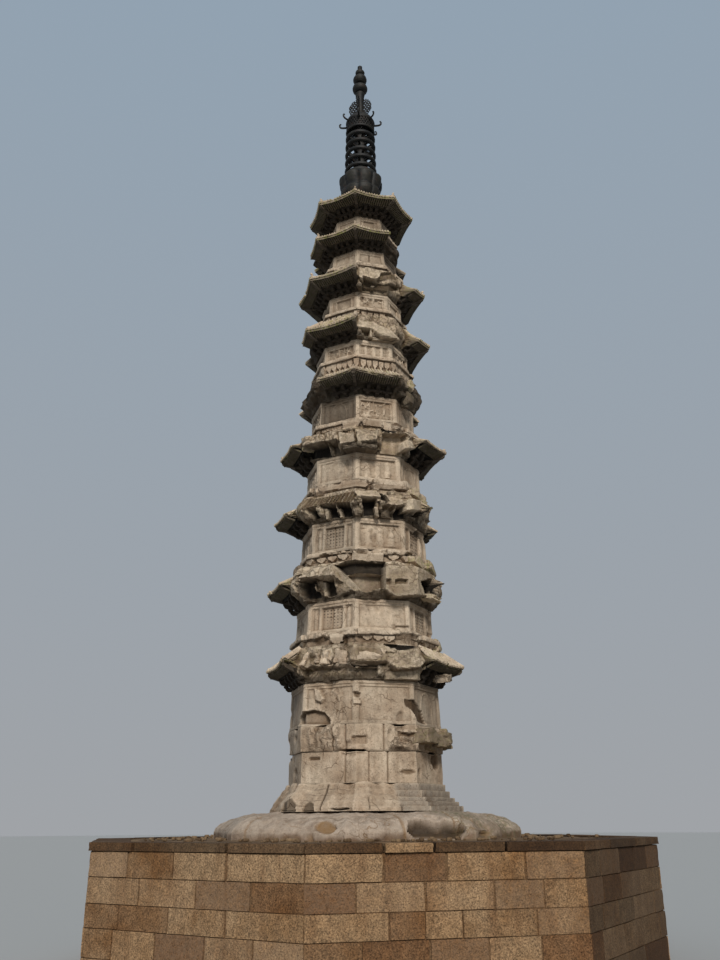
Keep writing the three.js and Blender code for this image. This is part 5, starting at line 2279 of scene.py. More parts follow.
def swept(path: Sequence[tuple[float, float]], widths: Sequence[float], count: int = 6) -> tuple[list, list]:
    """A tapered rod along a path in y and z, closed at both ends.

    Args:
        path: Points of the path as y and z.
        widths: Its half thickness at each point.
        count: Sides of the rod.

    Returns:
        Its vertices and faces.
    """
    line = np.array(path)
    ahead = np.gradient(line, axis=0)
    ahead /= np.linalg.norm(ahead, axis=1, keepdims=True)
    vertices = []
    for (y, z), (dy, dz), width in zip(line, ahead, widths):
        for k in range(count):
            angle = 2 * math.pi * k / count
            across, side = width * math.cos(angle), width * math.sin(angle)
            vertices.append((across, y - dz * side, z + dy * side))
    return vertices, tube_faces(len(line), count)


def hoop_part(outline: Sequence[tuple[float, float]], count: int) -> tuple[list, list]:
    """A ring with a closed outline of radius and height pairs."""
    size = len(outline)
    vertices = []
    for k in range(count):
        angle = 2 * math.pi * k / count
        x, y = math.cos(angle), math.sin(angle)
        vertices += [(radius * x, radius * y, height) for radius, height in outline]
    faces = []
    for k in range(count):
        for j in range(size):
            a, b = k * size + j, k * size + (j + 1) % size
            c, d = (k + 1) % count * size + (j + 1) % size, (k + 1) % count * size + j
            faces.append((a, b, c, d))
    return vertices, faces


@dataclass
class Finial:
    """The cast-iron finial: lotus bowl, hoops on a mast, pierced drum with hooks, flame discs and beads."""

    bowl: tuple[tuple[float, float], ...] = (
        (0.285, 10.70), (0.335, 10.85), (0.375, 10.95), (0.382, 11.01), (0.360, 11.06),
        (0.376, 11.14), (0.396, 11.24), (0.401, 11.30), (0.390, 11.322), (0.345, 11.322),
        (0.318, 11.316), (0.30, 11.33), (0.28, 11.338),
    )
    lobes: int = 8
    dome: tuple[tuple[float, float], ...] = (
        (0.27, 11.32), (0.305, 11.345), (0.318, 11.38), (0.308, 11.42), (0.27, 11.445), (0.10, 11.455),
    )
    hoops: tuple[tuple[float, float], ...] = (
        (0.296, 11.530), (0.291, 11.720), (0.287, 11.905), (0.282, 12.102), (0.277, 12.290),
    )
    mast: float = 0.095
    drum_radius: float = 0.268
    drum: tuple[float, float] = (12.44, 12.70)
    hook_height: float = 12.63
    hooks: int = 8
    disc_height: float = 13.08
    disc_radius: float = 0.235
    disc_azimuths: tuple[float, float] = (59.0, 149.0)
    lattice: float = 0.055
    flames: int = 22
    beads: tuple[tuple[float, float, float], ...] = (
        (13.545, 0.146, 0.10), (13.775, 0.134, 0.10), (13.955, 0.088, 0.055), (14.07, 0.046, 0.04),
    )
    neck: float = 0.045
    tip: tuple[float, float] = (0.012, 14.118)

    def build(self, shop: Workshop) -> None:
        """Build the finial from the bowl to the tip."""
        self.lotus_bowl(shop)
        self.turned(shop, "finial_dome_casting", self.dome, 48, ("finial_dome",), 0.004)
        self.hoop_stack(shop)
        self.canopy(shop)
        self.flame_discs(shop)
        self.spire(shop)

    def turned(
        self, shop: Workshop, name: str, outline: Sequence[tuple[float, float]], count: int,
        nodes: Sequence[str], rough: float, swell: np.ndarray | None = None,
    ) -> bpy.types.Object:
        """A turned casting.

        Args:
            shop: Takes the piece.
            name: Name of the piece.
            outline: Radius and height pairs from the bottom up.
            count: Sides of the casting.
            nodes: The nodes that it stands for.
            rough: Height of its bumps.
            swell: Change of radius for each row and side, as a share.

        Returns:
            The piece.
        """
        rows = profile_rows(outline, 0.018)
        azimuths = np.arange(count) * 360 / count
        radius = rows[:, :1] * np.ones(count)
        if swell is not None:
            at = np.interp(np.linspace(0, 1, len(rows)), np.linspace(0, 1, len(swell)), swell)[:, None]
            radius = radius * (1 + at * np.abs(np.cos(np.radians(azimuths) * self.lobes / 2)) ** 0.6)
        points = polar(radius, azimuths, rows[:, 1:2])
        points = pushed(points, rough * ROUGH.fractal(points, 0.12, 3))
        return shop.rings(name, Finish.CAST_IRON, points, weathering_and_shade(points, 0.0, 0.012), nodes)

    def lotus_bowl(self, shop: Workshop) -> None:
        """The bowl with its ring of broad petals."""
        swell = np.array([0.0, 0.04, 0.10, 0.08, 0.10, 0.14, 0.14, 0.05, 0.0])
        outline = [(radius * 0.9, height) for radius, height in self.bowl]
        self.turned(shop, "finial_lotus_bowl", outline, 96, ("finial_bowl",), 0.006, swell)

    def hoop_stack(self, shop: Workshop) -> None:
        """The mast with its hoops, each carried by eight petal-shaped spokes."""
        rim = [
            (0.80, -0.022), (0.93, -0.036), (1.0, -0.020), (1.012, 0.004), (0.99, 0.026), (0.92, 0.036),
            (0.80, 0.024),
        ]
        hub = [(0.30, -0.05), (0.47, -0.03), (0.47, 0.03), (0.30, 0.05)]
        wheel = template("wheel", hoop_part(rim, 40), hoop_part(hub, 20))
        places = [
            Place((0, 0, height + PLATFORM_TOP), (0, 0, k * 0.3), (radius, radius, 1.0))
            for k, (radius, height) in enumerate(self.hoops)
        ]
        shop.copies("finial_hoops", Finish.CAST_IRON, places, [wheel], ("finial_rings",))
        petal = template(
            "petal",
            extruded_part([(-0.42, -0.012), (-0.84, -0.016), (-0.84, 0.016), (-0.42, 0.012)], -0.075, 0.075),
        )
        spokes = [
            Place(
                (0, 0, height + PLATFORM_TOP), (0, 0, math.radians(SIDE_ANGLE * k + HALF_SIDE * (rank % 2))),
                (radius, radius, 1.0),
            )
            for rank, (radius, height) in enumerate(self.hoops)
            for k in range(8)
        ]
        shop.copies("finial_spokes", Finish.CAST_IRON, spokes, [petal], turn_spread=0.02)
        levels = [height for _, height in self.hoops]
        outline = [(self.mast, 11.37)]
        for low, high in zip(levels[:-1], levels[1:]):
            thick = self.mast * 1.22
            outline += [(self.mast, low), (thick, (low * 2 + high) / 3), (thick, (low + high * 2) / 3)]
        outline += [(self.mast, levels[-1]), (self.mast, 12.85)]
        self.turned(shop, "finial_mast", outline, 24, (), 0.003)

    def canopy(self, shop: Workshop) -> None:
        """The pierced drum, its domed roof and the hooks round it."""
        low, high = self.drum
        radius = self.drum_radius
        roof = [
            (radius, high - 0.03), (radius * 1.02, high - 0.015), (radius, high), (0.243, high + 0.05),
            (0.212, high + 0.085), (0.205, high + 0.10), (0.15, high + 0.12), (0.09, high + 0.14),
        ]
        self.turned(shop, "finial_canopy_roof", roof, 40, ("finial_canopy",), 0.003)
        eyelet = template(
            "eyelet",
            hoop_part([(0.56, -0.4), (0.98, -0.5), (1.14, 0.0), (0.98, 0.5), (0.56, 0.4), (0.5, 0.0)], 8),
        )
        step, rows = 0.0545, 4
        count = int(2 * math.pi * radius / step)
        size = step * 0.52
        eyelets = [
            place_on_side(
                360 * (k + 0.5 * (row % 2)) / count, 0.0, radius - 0.012, low + 0.045 + row * step * 0.87,
                (size, size, step * 0.4), pitch=90,
            )
            for row in range(rows)
            for k in range(count)
        ]
        shop.copies("finial_drum_eyelets", Finish.CAST_IRON, eyelets, [eyelet])
        band_line = [(0.90, -0.016), (1.01, -0.02), (1.035, 0.0), (1.01, 0.02), (0.90, 0.016)]
        band = template("band", hoop_part(band_line, 40))
        rims = [
            Place((0, 0, height + PLATFORM_TOP), (0, 0, 0), (radius, radius, 1.0))
            for height in (low + 0.012, high - 0.03)
        ]
        shop.copies("finial_drum_bands", Finish.CAST_IRON, rims, [band])
        line = [
            (-0.22, 0.0), (-0.29, -0.004), (-0.34, -0.002), (-0.375, 0.008),
            (-0.395, 0.032), (-0.398, 0.066), (-0.385, 0.088), (-0.368, 0.084),
        ]
        hook = template("hook", swept(line, [0.020, 0.019, 0.018, 0.018, 0.017, 0.016, 0.015, 0.012]))
        places = [
            Place(
                (0, 0, self.hook_height + PLATFORM_TOP), (0, 0, math.radians(HALF_SIDE + SIDE_ANGLE * k)),
                (1.0, 1.0, 1.0),
            )
            for k in range(self.hooks)
        ]
        shop.copies("finial_hooks", Finish.CAST_IRON, places, [hook], turn_spread=0.03)

    def flame_discs(self, shop: Workshop) -> None:
        """Two crossed lattice discs with a row of small flames on the rim, on a flared shaft."""
        eyelet = template(
            "eyelet",
            hoop_part([(0.58, -0.35), (1.0, -0.45), (1.16, 0.0), (1.0, 0.45), (0.58, 0.35), (0.5, 0.0)], 8),
        )
        flame = template(
            "flame", swept([(0.3, 0.0), (-0.2, 0.1), (-0.75, 0.5), (-1.0, 1.0)], [0.42, 0.36, 0.22, 0.06]),
        )
        places = []
        step, reach = self.lattice, self.disc_radius - 0.022
        size = step * 0.52
        for azimuth in self.disc_azimuths:
            angle = math.radians(azimuth)
            along = Vector((math.sin(angle), -math.cos(angle), 0))
            for row in range(-5, 6):
                for column in range(-5, 6):
                    u = (column + 0.5 * (row % 2)) * step
                    v = row * step * 0.87
                    if math.hypot(u, v) > self.disc_radius - 0.035 or abs(u) < 0.05:
                        continue
                    spot = along * u + Vector((0, 0, self.disc_height + v + PLATFORM_TOP))
                    turn = (math.pi / 2, 0, angle - math.pi / 2)
                    places.append(Place(tuple(spot), turn, (size, size, step * 0.4)))
            for k in range(self.flames):
                lean = 2 * math.pi * k / self.flames
                up = Vector((0, 0, self.disc_height + reach * math.cos(lean) + PLATFORM_TOP))
                spot = along * (reach * math.sin(lean)) + up
                if abs(math.sin(lean)) > 0.25:
                    turn = (-lean, 0, angle + math.pi / 2)
                    places.append(Place(tuple(spot), turn, (0.03, 0.034, 0.034), kind=1))
        shop.copies("finial_flame_discs", Finish.CAST_IRON, places, [eyelet, flame], ("finial_discs",))
        outline = [
            (0.095, 12.83), (0.090, 12.90), (0.072, 12.94), (0.066, 13.05), (0.066, 13.18),
            (0.076, 13.30), (0.086, 13.38), (0.092, 13.42), (0.080, 13.44),
        ]
        self.turned(shop, "finial_shaft", outline, 20, (), 0.004)

    def spire(self, shop: Workshop) -> None:
        """The beads of the top, in one turned outline."""
        outline = [(0.06, 13.38)]
        for height, radius, half in self.beads:
            for step in (-1.0, -0.85, -0.5, -0.12, 0.12, 0.5, 0.85, 1.0):
                swell = math.sqrt(1 - step**2)
                outline.append((self.neck + (radius - self.neck) * swell, height + step * half))
        outline.append(self.tip)
        heights = [z for _, z in outline]
        rows = [pair for k, pair in enumerate(outline) if k == 0 or pair[1] > max(heights[:k])]
        self.turned(shop, "finial_beads", rows, 28, ("finial_spire",), 0.004)


# Camera, light and floor.


@dataclass(frozen=True)
class Studio:
    """The camera of the photograph, a pale floor and soft light."""

    focal_px: float = 887.2
    picture_height: float = 960.0
    pitch: float = 21.14
    roll: float = 0.33
    yaw: float = -0.19
    distance: float = 13.41
    eye: float = 1.685
    azimuth: float = -16.25

    def build(self) -> None:
        """Set up the camera, the floor and the lights."""
        scene = bpy.context.scene
        scene.camera = self.camera()
        scene.view_settings.view_transform = "Standard"
        self.floor()
        self.lights()

    def camera(self) -> bpy.types.Object:
        """The camera where the photograph was taken.

        Returns:
            The camera.
        """
        pitch, roll, yaw = (math.radians(v) for v in (self.pitch, self.roll, self.yaw))
        level = Vector((math.sin(yaw), math.cos(yaw), 0))
        right = Vector((math.cos(yaw), -math.sin(yaw), 0))
        ahead = level * math.cos(pitch) + Vector((0, 0, math.sin(pitch)))
        up = Vector((0, 0, math.cos(pitch))) - level * math.sin(pitch)
        rolled_right = right * math.cos(roll) - up * math.sin(roll)
        rolled_up = right * math.sin(roll) + up * math.cos(roll)
        axes = Matrix((rolled_right, rolled_up, -ahead)).transposed().to_4x4()
        round_axis = Matrix.Rotation(math.radians(self.azimuth), 4, "Z")
        data = bpy.data.cameras.new("camera")
        data.lens = self.focal_px / self.picture_height * data.sensor_width
        data.clip_end = 500.0
        camera = bpy.data.objects.new("camera", data)
        camera.matrix_world = round_axis @ Matrix.Translation((0, -self.distance, self.eye)) @ axes
        bpy.context.scene.collection.objects.link(camera)
        return camera

    def floor(self) -> None:
        """A plain pale floor under the platform."""
        work = bmesh.new()
        bmesh.ops.create_circle(work, cap_ends=True, segments=96, radius=150.0)
        mesh = bpy.data.meshes.new("floor")
        work.to_mesh(mesh)
        work.free()
        material = bpy.data.materials.new("pale_floor")
        material.use_nodes = True
        shader = material.node_tree.nodes["Principled BSDF"]
        shader.inputs["Base Color"].default_value = (0.40, 0.40, 0.39, 1.0)
        shader.inputs["Roughness"].default_value = 0.95
        mesh.materials.append(material)
        floor = bpy.data.objects.new("floor", mesh)
        bpy.context.scene.collection.objects.link(floor)

    def lights(self) -> None:
        """A pale sky, darker on the right, and two soft lights from the front."""
        world = bpy.data.worlds.new("sky")
        world.use_nodes = True
        graph = Graph(world.node_tree)
        ways = graph.add("ShaderNodeTexCoord").outputs["Generated"]
        height = graph.add("ShaderNodeSeparateXYZ", {}, {"Vector": ways}).outputs["Z"]
        sky = graph.mix(graph.spread(height, 0.0, 0.75), tint(160, 163, 167), tint(146, 162, 177))
        dot = graph.add("ShaderNodeVectorMath", {"operation": "DOT_PRODUCT"}, {0: ways, 1: (0.9, -0.43, 0.0)})
        dark_right = graph.spread(dot.outputs["Value"], 0.3, 0.7, 0.0, 0.75)
        sky = graph.mix(dark_right, sky, tint(30, 30, 32))
        background = world.node_tree.nodes["Background"]
        graph.feed(background, "Color", sky)
        background.inputs["Strength"].default_value = 1.0
        bpy.context.scene.world = world
        lamps = (("key", -11.0, 33.0, 2.6, 16.0), ("fill", -10.0, 12.0, 0.12, 60.0))
        for name, azimuth, elevation, strength, spread in lamps:
            light = bpy.data.lights.new(name, "SUN")
            light.energy = strength
            light.angle = math.radians(spread)
            light.color = (1.0, 0.97, 0.92)
            lamp = bpy.data.objects.new(name, light)
            a, e = math.radians(azimuth), math.radians(elevation)
            back = Vector((math.sin(a) * math.cos(e), -math.cos(a) * math.cos(e), math.sin(e)))
            lamp.rotation_euler = back.to_track_quat("Z", "Y").to_euler()
            bpy.context.scene.collection.objects.link(lamp)


# Stones left of broken courses.


@dataclass(frozen=True)
class Stone:
    """A stone that still sticks out of a broken course."""

    side: float
    across: float
    out: float
    height: float
    size: tuple[float, float, float]
    kind: int = 0
    soot: float = 0.0
    tone: float = 0.0
    moss: float = 0.0
    yaw: float = 0.0
    pitch: float = 0.0
    roll: float = 0.0

    def place(self) -> Place:
        """Where its copy stands."""
        return place_on_side(
            self.side, self.across, self.out, self.height, self.size, self.pitch, self.yaw, self.roll,
            soot=self.soot, tone=self.tone, moss=self.moss, kind=self.kind,
        )


def remnants(shop: Workshop, name: str, stones: Sequence[Stone]) -> None:
    """Build the stones that are left of one course.

    Args:
        shop: Takes the piece.
        name: Name of the piece.
        stones: The stones.
    """
    shapes = [rough_stone(f"remnant_{k}", 120 + k, (12, 10, 9), 0.08 + 0.14 * k, 0.10, 0.3) for k in range(4)]
    shapes.append(rough_stone("remnant_4", 124, (12, 10, 9), 0.05, 0.06, 0.1))
    shop.copies(name, Finish.WHITE_STONE, [stone.place() for stone in stones], shapes)


# What each storey carries and what it has lost.

DOORS, WINDOWS = (45, 135, 225, 315), (0, 90, 180, 270)
CARVINGS = {
    1: (Carving.WORN_ARCH, Carving.PLAIN),
    2: (Carving.STUDDED_DOOR, Carving.PLAIN),
    3: (Carving.STUDDED_DOOR, Carving.FIGURES),
    4: (Carving.WORN_ARCH, Carving.FIGURES),
    5: (Carving.WORN_ARCH, Carving.SCROLLS),
    6: (Carving.SCROLLS, Carving.FIGURES),
    7: (Carving.PANEL, Carving.SCROLLS),
    8: (Carving.PLAIN, Carving.PLAIN),
    9: (Carving.PLAIN, Carving.PANEL),
}
WALL_MARKS = {
    2: (Mark(0, 0.30, 2.80, 0.2, 0.02, 0.02),),
    8: (Mark(0, -0.02, 9.24, 0.012, 0.12, 0.02),),
}
# Painted shade by storey and side, laid on as soot; a number below zero is painted light, as paler stone.
WALL_SIDE_SHADES = {
    1: {45: 0.3, 0: 0.08}, 2: {0: -0.35}, 3: {315: 0.3}, 4: {315: 0.2, 0: -0.6}, 5: {315: 0.7},
    6: {315: 0.1, 0: -0.9},
    7: {315: 0.22, 0: -0.7}, 8: {315: 0.3, 0: 0.28, 45: 0.8}, 9: {315: 0.35, 0: 0.4, 45: 0.5},
}
STONES: dict[str, tuple[Stone, ...]] = {
    "eaves 1": (
        Stone(-2, -0.23, 1.01, 2.34, (0.54, 0.36, 0.24), 3, 0, 0.6, 0, 4, 0, -3),
        Stone(-30, -0.08, 1.01, 2.34, (0.18, 0.30, 0.19), 1, 0.1, 0.1, 0, 10, 5, 6),
        Stone(-38, -0.09, 1.04, 2.34, (0.14, 0.30, 0.18), 0, 0, 0.8, 0, -14, 0, 12),
        Stone(-46, -0.16, 0.99, 2.36, (0.11, 0.30, 0.18), 2, 0.1, 0.1, 0, 8, 0, -6),
        Stone(-62, 0.01, 1.09, 2.32, (0.08, 0.30, 0.21), 0, 0, 0.4, 0, 18, -12, 20),
        Stone(57, 0.00, 1.18, 2.15, (0.27, 0.24, 0.11), 1, 0.3, 0.2, 0, 0, 8, -14),
    ),
    "balcony 2": (
        Stone(64, 0.16, 1.04, 2.65, (0.31, 0.20, 0.22), 3, 0.1, 0, 0.5),
    ),
    "balcony 3": (
        Stone(58, 0.07, 0.99, 3.79, (0.44, 0.22, 0.20), 3, 0.15, 0.1, 0.6, 0, 0, 20),
        Stone(45, -0.19, 0.97, 3.80, (0.34, 0.20, 0.15), 2, 0.1, 0.1, 0.4, 0, 0, 15),
        Stone(-84, 0.00, 1.00, 3.71, (0.21, 0.24, 0.24), 3, 0.6, -0.2, 0, 0, 0, -8),
    ),
    "eaves 2": (
        Stone(44, 0.00, 1.11, 3.28, (0.22, 0.30, 0.08), 0, 0.1, 0.3, 0.3, 0, 10, 10),
    ),
    "eaves 3": (
        Stone(-84, 0.23, 1.04, 4.65, (0.17, 0.24, 0.24), 3, 0.5, -0.2, 0.3, 0, 0, -10),
        Stone(32, 0.00, 0.99, 4.88, (0.22, 0.22, 0.15), 2, 0.1, 0.2, 0.3, 0, 0, 10),
        Stone(43, 0.00, 1.00, 4.75, (0.15, 0.24, 0.27), 3, 0.3, 0.1, 0.5, 0, 0, 14),
    ),
    "eaves 4": (
        Stone(-84, 0.16, 0.99, 5.76, (0.09, 0.22, 0.24), 2, 0.4, 0, 0.5, 0, 0, -8),
    ),
    "eaves 5": (
        Stone(39, 0.00, 0.87, 6.81, (0.18, 0.22, 0.17), 2, 0.1, 0.4, 0.5, 0, 0, 12),
        Stone(39, 0.00, 0.87, 6.55, (0.19, 0.20, 0.26), 3, 0.75, 0, 0.2),
    ),
    "top course": (
        Stone(45, -0.10, 0.97, 1.25, (0.17, 0.36, 0.28), 4, 0.2, -0.6, 0.3, 3, 0, 2),
        Stone(69, 0.00, 1.05, 1.31, (0.26, 0.36, 0.22), 4, 0.2, -0.5, 0.3, -4, -8, 6),
    ),
}
# In these forms the black of cavities, gaps, voids, holes, slots and pockets is painted shadow, given as
# soot; the hollow number darkens cracks and paints shade in recesses, and a high tone at places paints a
# stone as lit, a low one as in shade.
FORMS: dict[str, tuple[Form, ...]] = {
    "eaves 1": (
        Form(
            "rough lower face",
            ((-63.6, 2.041), (-17.8, 2.013), (-0.9, 2.024), (-1, 2.185), (-17.7, 2.173), (-63, 2.219)), 1.12,
            1.14, soot=0.3, hollow=0.3, tone=-0.5, soft=0.02,
        ),
        Form(
            "cluster of stones",
            ((-58, 2.274), (-41.4, 2.233), (-27.1, 2.249), (-27.7, 2.467), (-52.6, 2.5), (-60, 2.444)), 1.2,
            1.22, soot=0.25, hollow=0.1, tone=-0.4, rough=1.3, soft=0.03,
        ),
        Form(
            "folded plates", ((-62.2, 2.216), (-55.9, 2.19), (-53.5, 2.243), (-63.9, 2.51), (-71.4, 2.46)),
            1.3, 1.2, soot=0.2, tone=-0.4, rough=0.7, soft=0.02,
        ),
        Form(
            "light stone", ((-45.5, 2.342), (-39, 2.246), (-36.9, 2.354), (-38.7, 2.455), (-47.5, 2.458)),
            1.27, 1.25, tone=0.3, rough=0.4, soft=0.02,
        ),
        Form(
            "gap under the boulder", ((-23.6, 2.178), (-0.3, 2.193), (1.4, 2.249), (-25.2, 2.236)), 1.09,
            1.09, soot=0.9, rough=0.3, soft=0.015,
        ),
        Form(
            "long boulder",
            (
                (-26.2, 2.233), (-18.7, 2.202), (-7.1, 2.212), (0.5, 2.246), (1.2, 2.355), (-6.3, 2.458),
                (-14.9, 2.49), (-23.5, 2.457), (-27.5, 2.371),
            ),
            1.29, 1.3, soot=0.15, hollow=0.1, tone=-0.4, rough=0.6, soft=0.05,
        ),
        Form(
            "pocket", ((-17.1, 2.058), (-6.9, 2.065), (-5.2, 2.189), (-18.5, 2.18)), 1.09, 1.09, soot=0.7,
            hollow=0.4, rough=0.5, soft=0.015,
        ),
        Form(
            "bracket stub", ((-6.9, 2.054), (-1.6, 2.03), (0.1, 2.236), (-6, 2.218)), 1.17, 1.17, soot=0.1,
            tone=0.3, soft=0.015,
        ),
        Form(
            "roof slope left on the right",
            (
                (-0.1, 2.212), (5.8, 2.144), (19.9, 2.173), (34.6, 2.413), (29.6, 2.503), (8.8, 2.432),
                (0.7, 2.379),
            ),
            1.37, 1.16, soot=0.1, hollow=0.1, tone=-0.1, rough=0.7, soft=0.02,
        ),
        Form(
            "gap under the balcony", ((3.1, 2.429), (12.8, 2.423), (23, 2.476), (31.7, 2.574), (-1, 2.51)),
            1.1, 1.1, soot=1, rough=0.3, soft=0.015,
        ),
        Form(
            "lower ledge", ((-1, 2.016), (27.9, 2.033), (26.1, 2.18), (8.8, 2.158), (-1, 2.11)), 1.18, 1.19,
            hollow=0.1, tone=0.5, rough=0.4, soft=0.015,
        ),
    ),
    "balcony 2": (
        Form(
            "hollow", ((-18.5, 2.532), (-1, 2.547), (0.8, 2.619), (-9.5, 2.653), (-19.2, 2.616)), 1.05, 1.05,
            soot=0.1, hollow=0.75, rough=0.6, soft=0.015,
        ),
        Form(
            "hollow", ((9.2, 2.596), (32.1, 2.637), (36.1, 2.707), (17.6, 2.703), (7.5, 2.651)), 1.06, 1.06,
            soot=0.2, hollow=0.8, rough=0.6, soft=0.015,
        ),
        Form(
            "light angular block",
            ((-44.3, 2.582), (-38.7, 2.487), (-32, 2.545), (-31.3, 2.673), (-44.7, 2.698)), 1.14, 1.12,
            tone=0.8, rough=0.3, soft=0.01,
        ),
        Form(
            "hollow", ((-57.5, 2.545), (-46.9, 2.613), (-49.9, 2.704), (-62.2, 2.611)), 1.05, 1.05, soot=0.3,
            hollow=0.9, rough=0.8, soft=0.015,
        ),
    ),
    "eaves 2": (
        Form(
            "bracket mass", ((-64.5, 3.148), (-59.6, 3.194), (-60, 3.445), (-71.9, 3.46)), 1.2, 1.22,
            soot=0.65, soft=0.02,
        ),
        Form(
            "cavity", ((-66.4, 3.237), (-55, 3.242), (-56.2, 3.484), (-67.7, 3.497)), 1.03, 1.03, soot=1,
            rough=0.3,
        ),
        Form(
            "cavity", ((-49, 3.23), (-38.9, 3.239), (-38.9, 3.446), (-50.1, 3.47)), 1.03, 1.03, soot=0.95,
            rough=0.3,
        ),
        Form(
            "bracket arm", ((-50.2, 3.214), (-45.6, 3.218), (-47.1, 3.443), (-51.7, 3.455)), 1.13, 1.13,
            soot=0.15, tone=0.3, rough=0.5,
        ),
        Form(
            "carved stub", ((-37.1, 3.206), (-30, 3.233), (-22.5, 3.271), (-28.9, 3.387), (-36.7, 3.421)),
            1.1, 1.12, soot=0.1, hollow=0.1, tone=0.2, rough=1.4, soft=0.015,
        ),
        Form(
            "ledge left standing",
            (
                (-49.3, 3.48), (-31, 3.437), (-31.3, 3.485), (-39.1, 3.64), (-51.5, 3.663), (-62.1, 3.633),
                (-65.8, 3.486),
            ),
            1.36, 1.28, tone=0.35, soft=0.03,
        ),
        Form(
            "slanting broken face",
            ((-34.2, 3.435), (-23.7, 3.272), (-15.9, 3.264), (-34.8, 3.603), (-39.2, 3.627)), 1.05, 1.28,
            tone=0.6, rough=0.2,
        ),
        Form(
            "void", ((-29.7, 3.507), (2.6, 3.518), (2.8, 3.714), (-40.9, 3.682)), 1, 1, soot=0.95, rough=0.15,
        ),
        Form(
            "floor of the void", ((-17.5, 3.267), (-14.2, 3.256), (1, 3.333), (2.4, 3.515), (-29.5, 3.504)),
            1.03, 1.01, soot=0.35, hollow=0.1, tone=-0.3, rough=0.2,
        ),
        Form(
            "plain block",
            ((-0.9, 3.28), (6.5, 3.175), (46.8, 3.302), (49.5, 3.648), (17.7, 3.64), (-0.9, 3.627)), 1.24,
            1.27, soot=0.1, hollow=0.1, tone=-0.2, rough=0.35,
        ),
        Form(
            "sunk square", ((0.2, 3.351), (3.7, 3.355), (3.8, 3.428), (0.3, 3.424)), 1.2, 1.2, soot=0.2,
            hollow=0.7, rough=0.3, soft=0.01,
        ),
        Form(
            "sunk panel", ((6.8, 3.366), (15.8, 3.378), (15.9, 3.445), (6.9, 3.432)), 1.2, 1.2, soot=0.3,
            hollow=0.8, rough=0.3, soft=0.01,
        ),
        Form(
            "black hole",
            ((33.4, 3.275), (53.9, 3.349), (58.5, 3.474), (57, 3.608), (38.3, 3.536), (26.6, 3.444)), 1.05,
            1.05, soot=1, rough=0.3,
        ),
    ),
    "balcony 3": (
        Form(
            "smooth block", ((-26, 3.718), (1.5, 3.725), (1.6, 3.861), (-26, 3.853)), 1.07, 1.07, tone=0.6,
            rough=0.3, soft=0.01,
        ),
        Form(
            "hollow", ((-54, 3.79), (-46.5, 3.85), (-50.9, 3.906), (-57.2, 3.859)), 0.99, 0.99, soot=0.3,
            hollow=0.9, rough=0.5,
        ),
        Form(
            "hollow", ((-38, 3.738), (-30.9, 3.828), (-33.9, 3.881), (-41.2, 3.791)), 0.99, 0.99, soot=0.3,
            hollow=0.9, rough=0.5,
        ),
        Form(
            "hollow", ((11.6, 3.772), (16.2, 3.839), (10.8, 3.878), (6, 3.811)), 0.99, 0.99, soot=0.3,
            hollow=0.8, rough=0.5,
        ),
        Form(
            "hollow", ((23.9, 3.838), (40, 3.875), (33.9, 3.928), (21.5, 3.907), (17.1, 3.825)), 0.99, 0.99,
            soot=0.3, hollow=0.8, rough=0.5,
        ),
    ),
    "eaves 3": (
        Form(
            "cavity", ((-63.5, 4.459), (-55.1, 4.468), (-56.3, 4.647), (-64.7, 4.672)), 0.975, 0.975, soot=1,
            rough=0.2,
        ),
        Form(
            "cavity", ((-50.7, 4.456), (-38.5, 4.439), (-40.8, 4.62), (-53, 4.638)), 0.975, 0.975, soot=1,
            rough=0.2,
        ),
        Form(
            "cavity", ((-35.3, 4.43), (-24.2, 4.414), (-26.1, 4.593), (-37.5, 4.611)), 0.975, 0.975, soot=1,
            rough=0.2,
        ),
        Form(
            "cavity", ((12.8, 4.397), (23.1, 4.431), (22.2, 4.602), (11.1, 4.568)), 0.975, 0.975, soot=1,
            rough=0.2,
        ),
        Form(
            "bracket arm", ((-50.2, 4.412), (-46.3, 4.4), (-47.7, 4.589), (-51.6, 4.601)), 1.08, 1.1,
            soot=0.3, tone=0.2, rough=0.5, soft=0.01,
        ),
        Form(
            "bracket arm", ((-36.4, 4.402), (-32.6, 4.391), (-34.2, 4.562), (-37.9, 4.574)), 1.08, 1.1,
            soot=0.3, tone=0.2, rough=0.5, soft=0.01,
        ),
        Form(
            "corner bracket", ((-22.5, 4.358), (-17.9, 4.381), (-18.5, 4.592), (-24.8, 4.548)), 1.08, 1.1,
            soot=0.2, tone=0.2, rough=0.8, soft=0.01,
        ),
        Form(
            "cavity", ((-16.3, 4.419), (-4.8, 4.451), (-5.6, 4.703), (-18, 4.668)), 0.975, 0.975, soot=1,
            rough=0.2,
        ),
        Form(
            "bracket arm", ((-5.9, 4.395), (-2, 4.401), (-3.4, 4.549), (-7.2, 4.558)), 1.1, 1.12, tone=0.4,
            rough=0.5, soft=0.01,
        ),
        Form(
            "small stub", ((-0.5, 4.4), (9.5, 4.383), (8.8, 4.571), (-1.2, 4.556)), 1.06, 1.06, soot=0.1,
            hollow=0.3, tone=0.1, soft=0.015,
        ),
        Form(
            "roof slope left on the left",
            (
                (-65.5, 4.586), (-52.7, 4.622), (-25.2, 4.561), (-19.7, 4.648), (-23.6, 4.776),
                (-63.3, 4.773), (-93.3, 4.883),
            ),
            1.24, 1.1, soot=0.28, hollow=0.1, tone=-0.5, rough=0.6, soft=0.02, ribs=0.072,
        ),
        Form(
            "roof slope on the front",
            ((-20.3, 4.652), (-11, 4.656), (-0, 4.682), (3.1, 4.749), (-8.9, 4.801), (-22.7, 4.768)), 1.23,
            1.14, tone=0.6, rough=0.3, soft=0.02,
        ),
        Form(
            "fan of stone", ((1.5, 4.606), (5.6, 4.543), (15.8, 4.583), (14.2, 4.76), (1.8, 4.752)), 1.24,
            1.15, tone=0.35, rough=0.5, soft=0.02,
        ),
        Form(
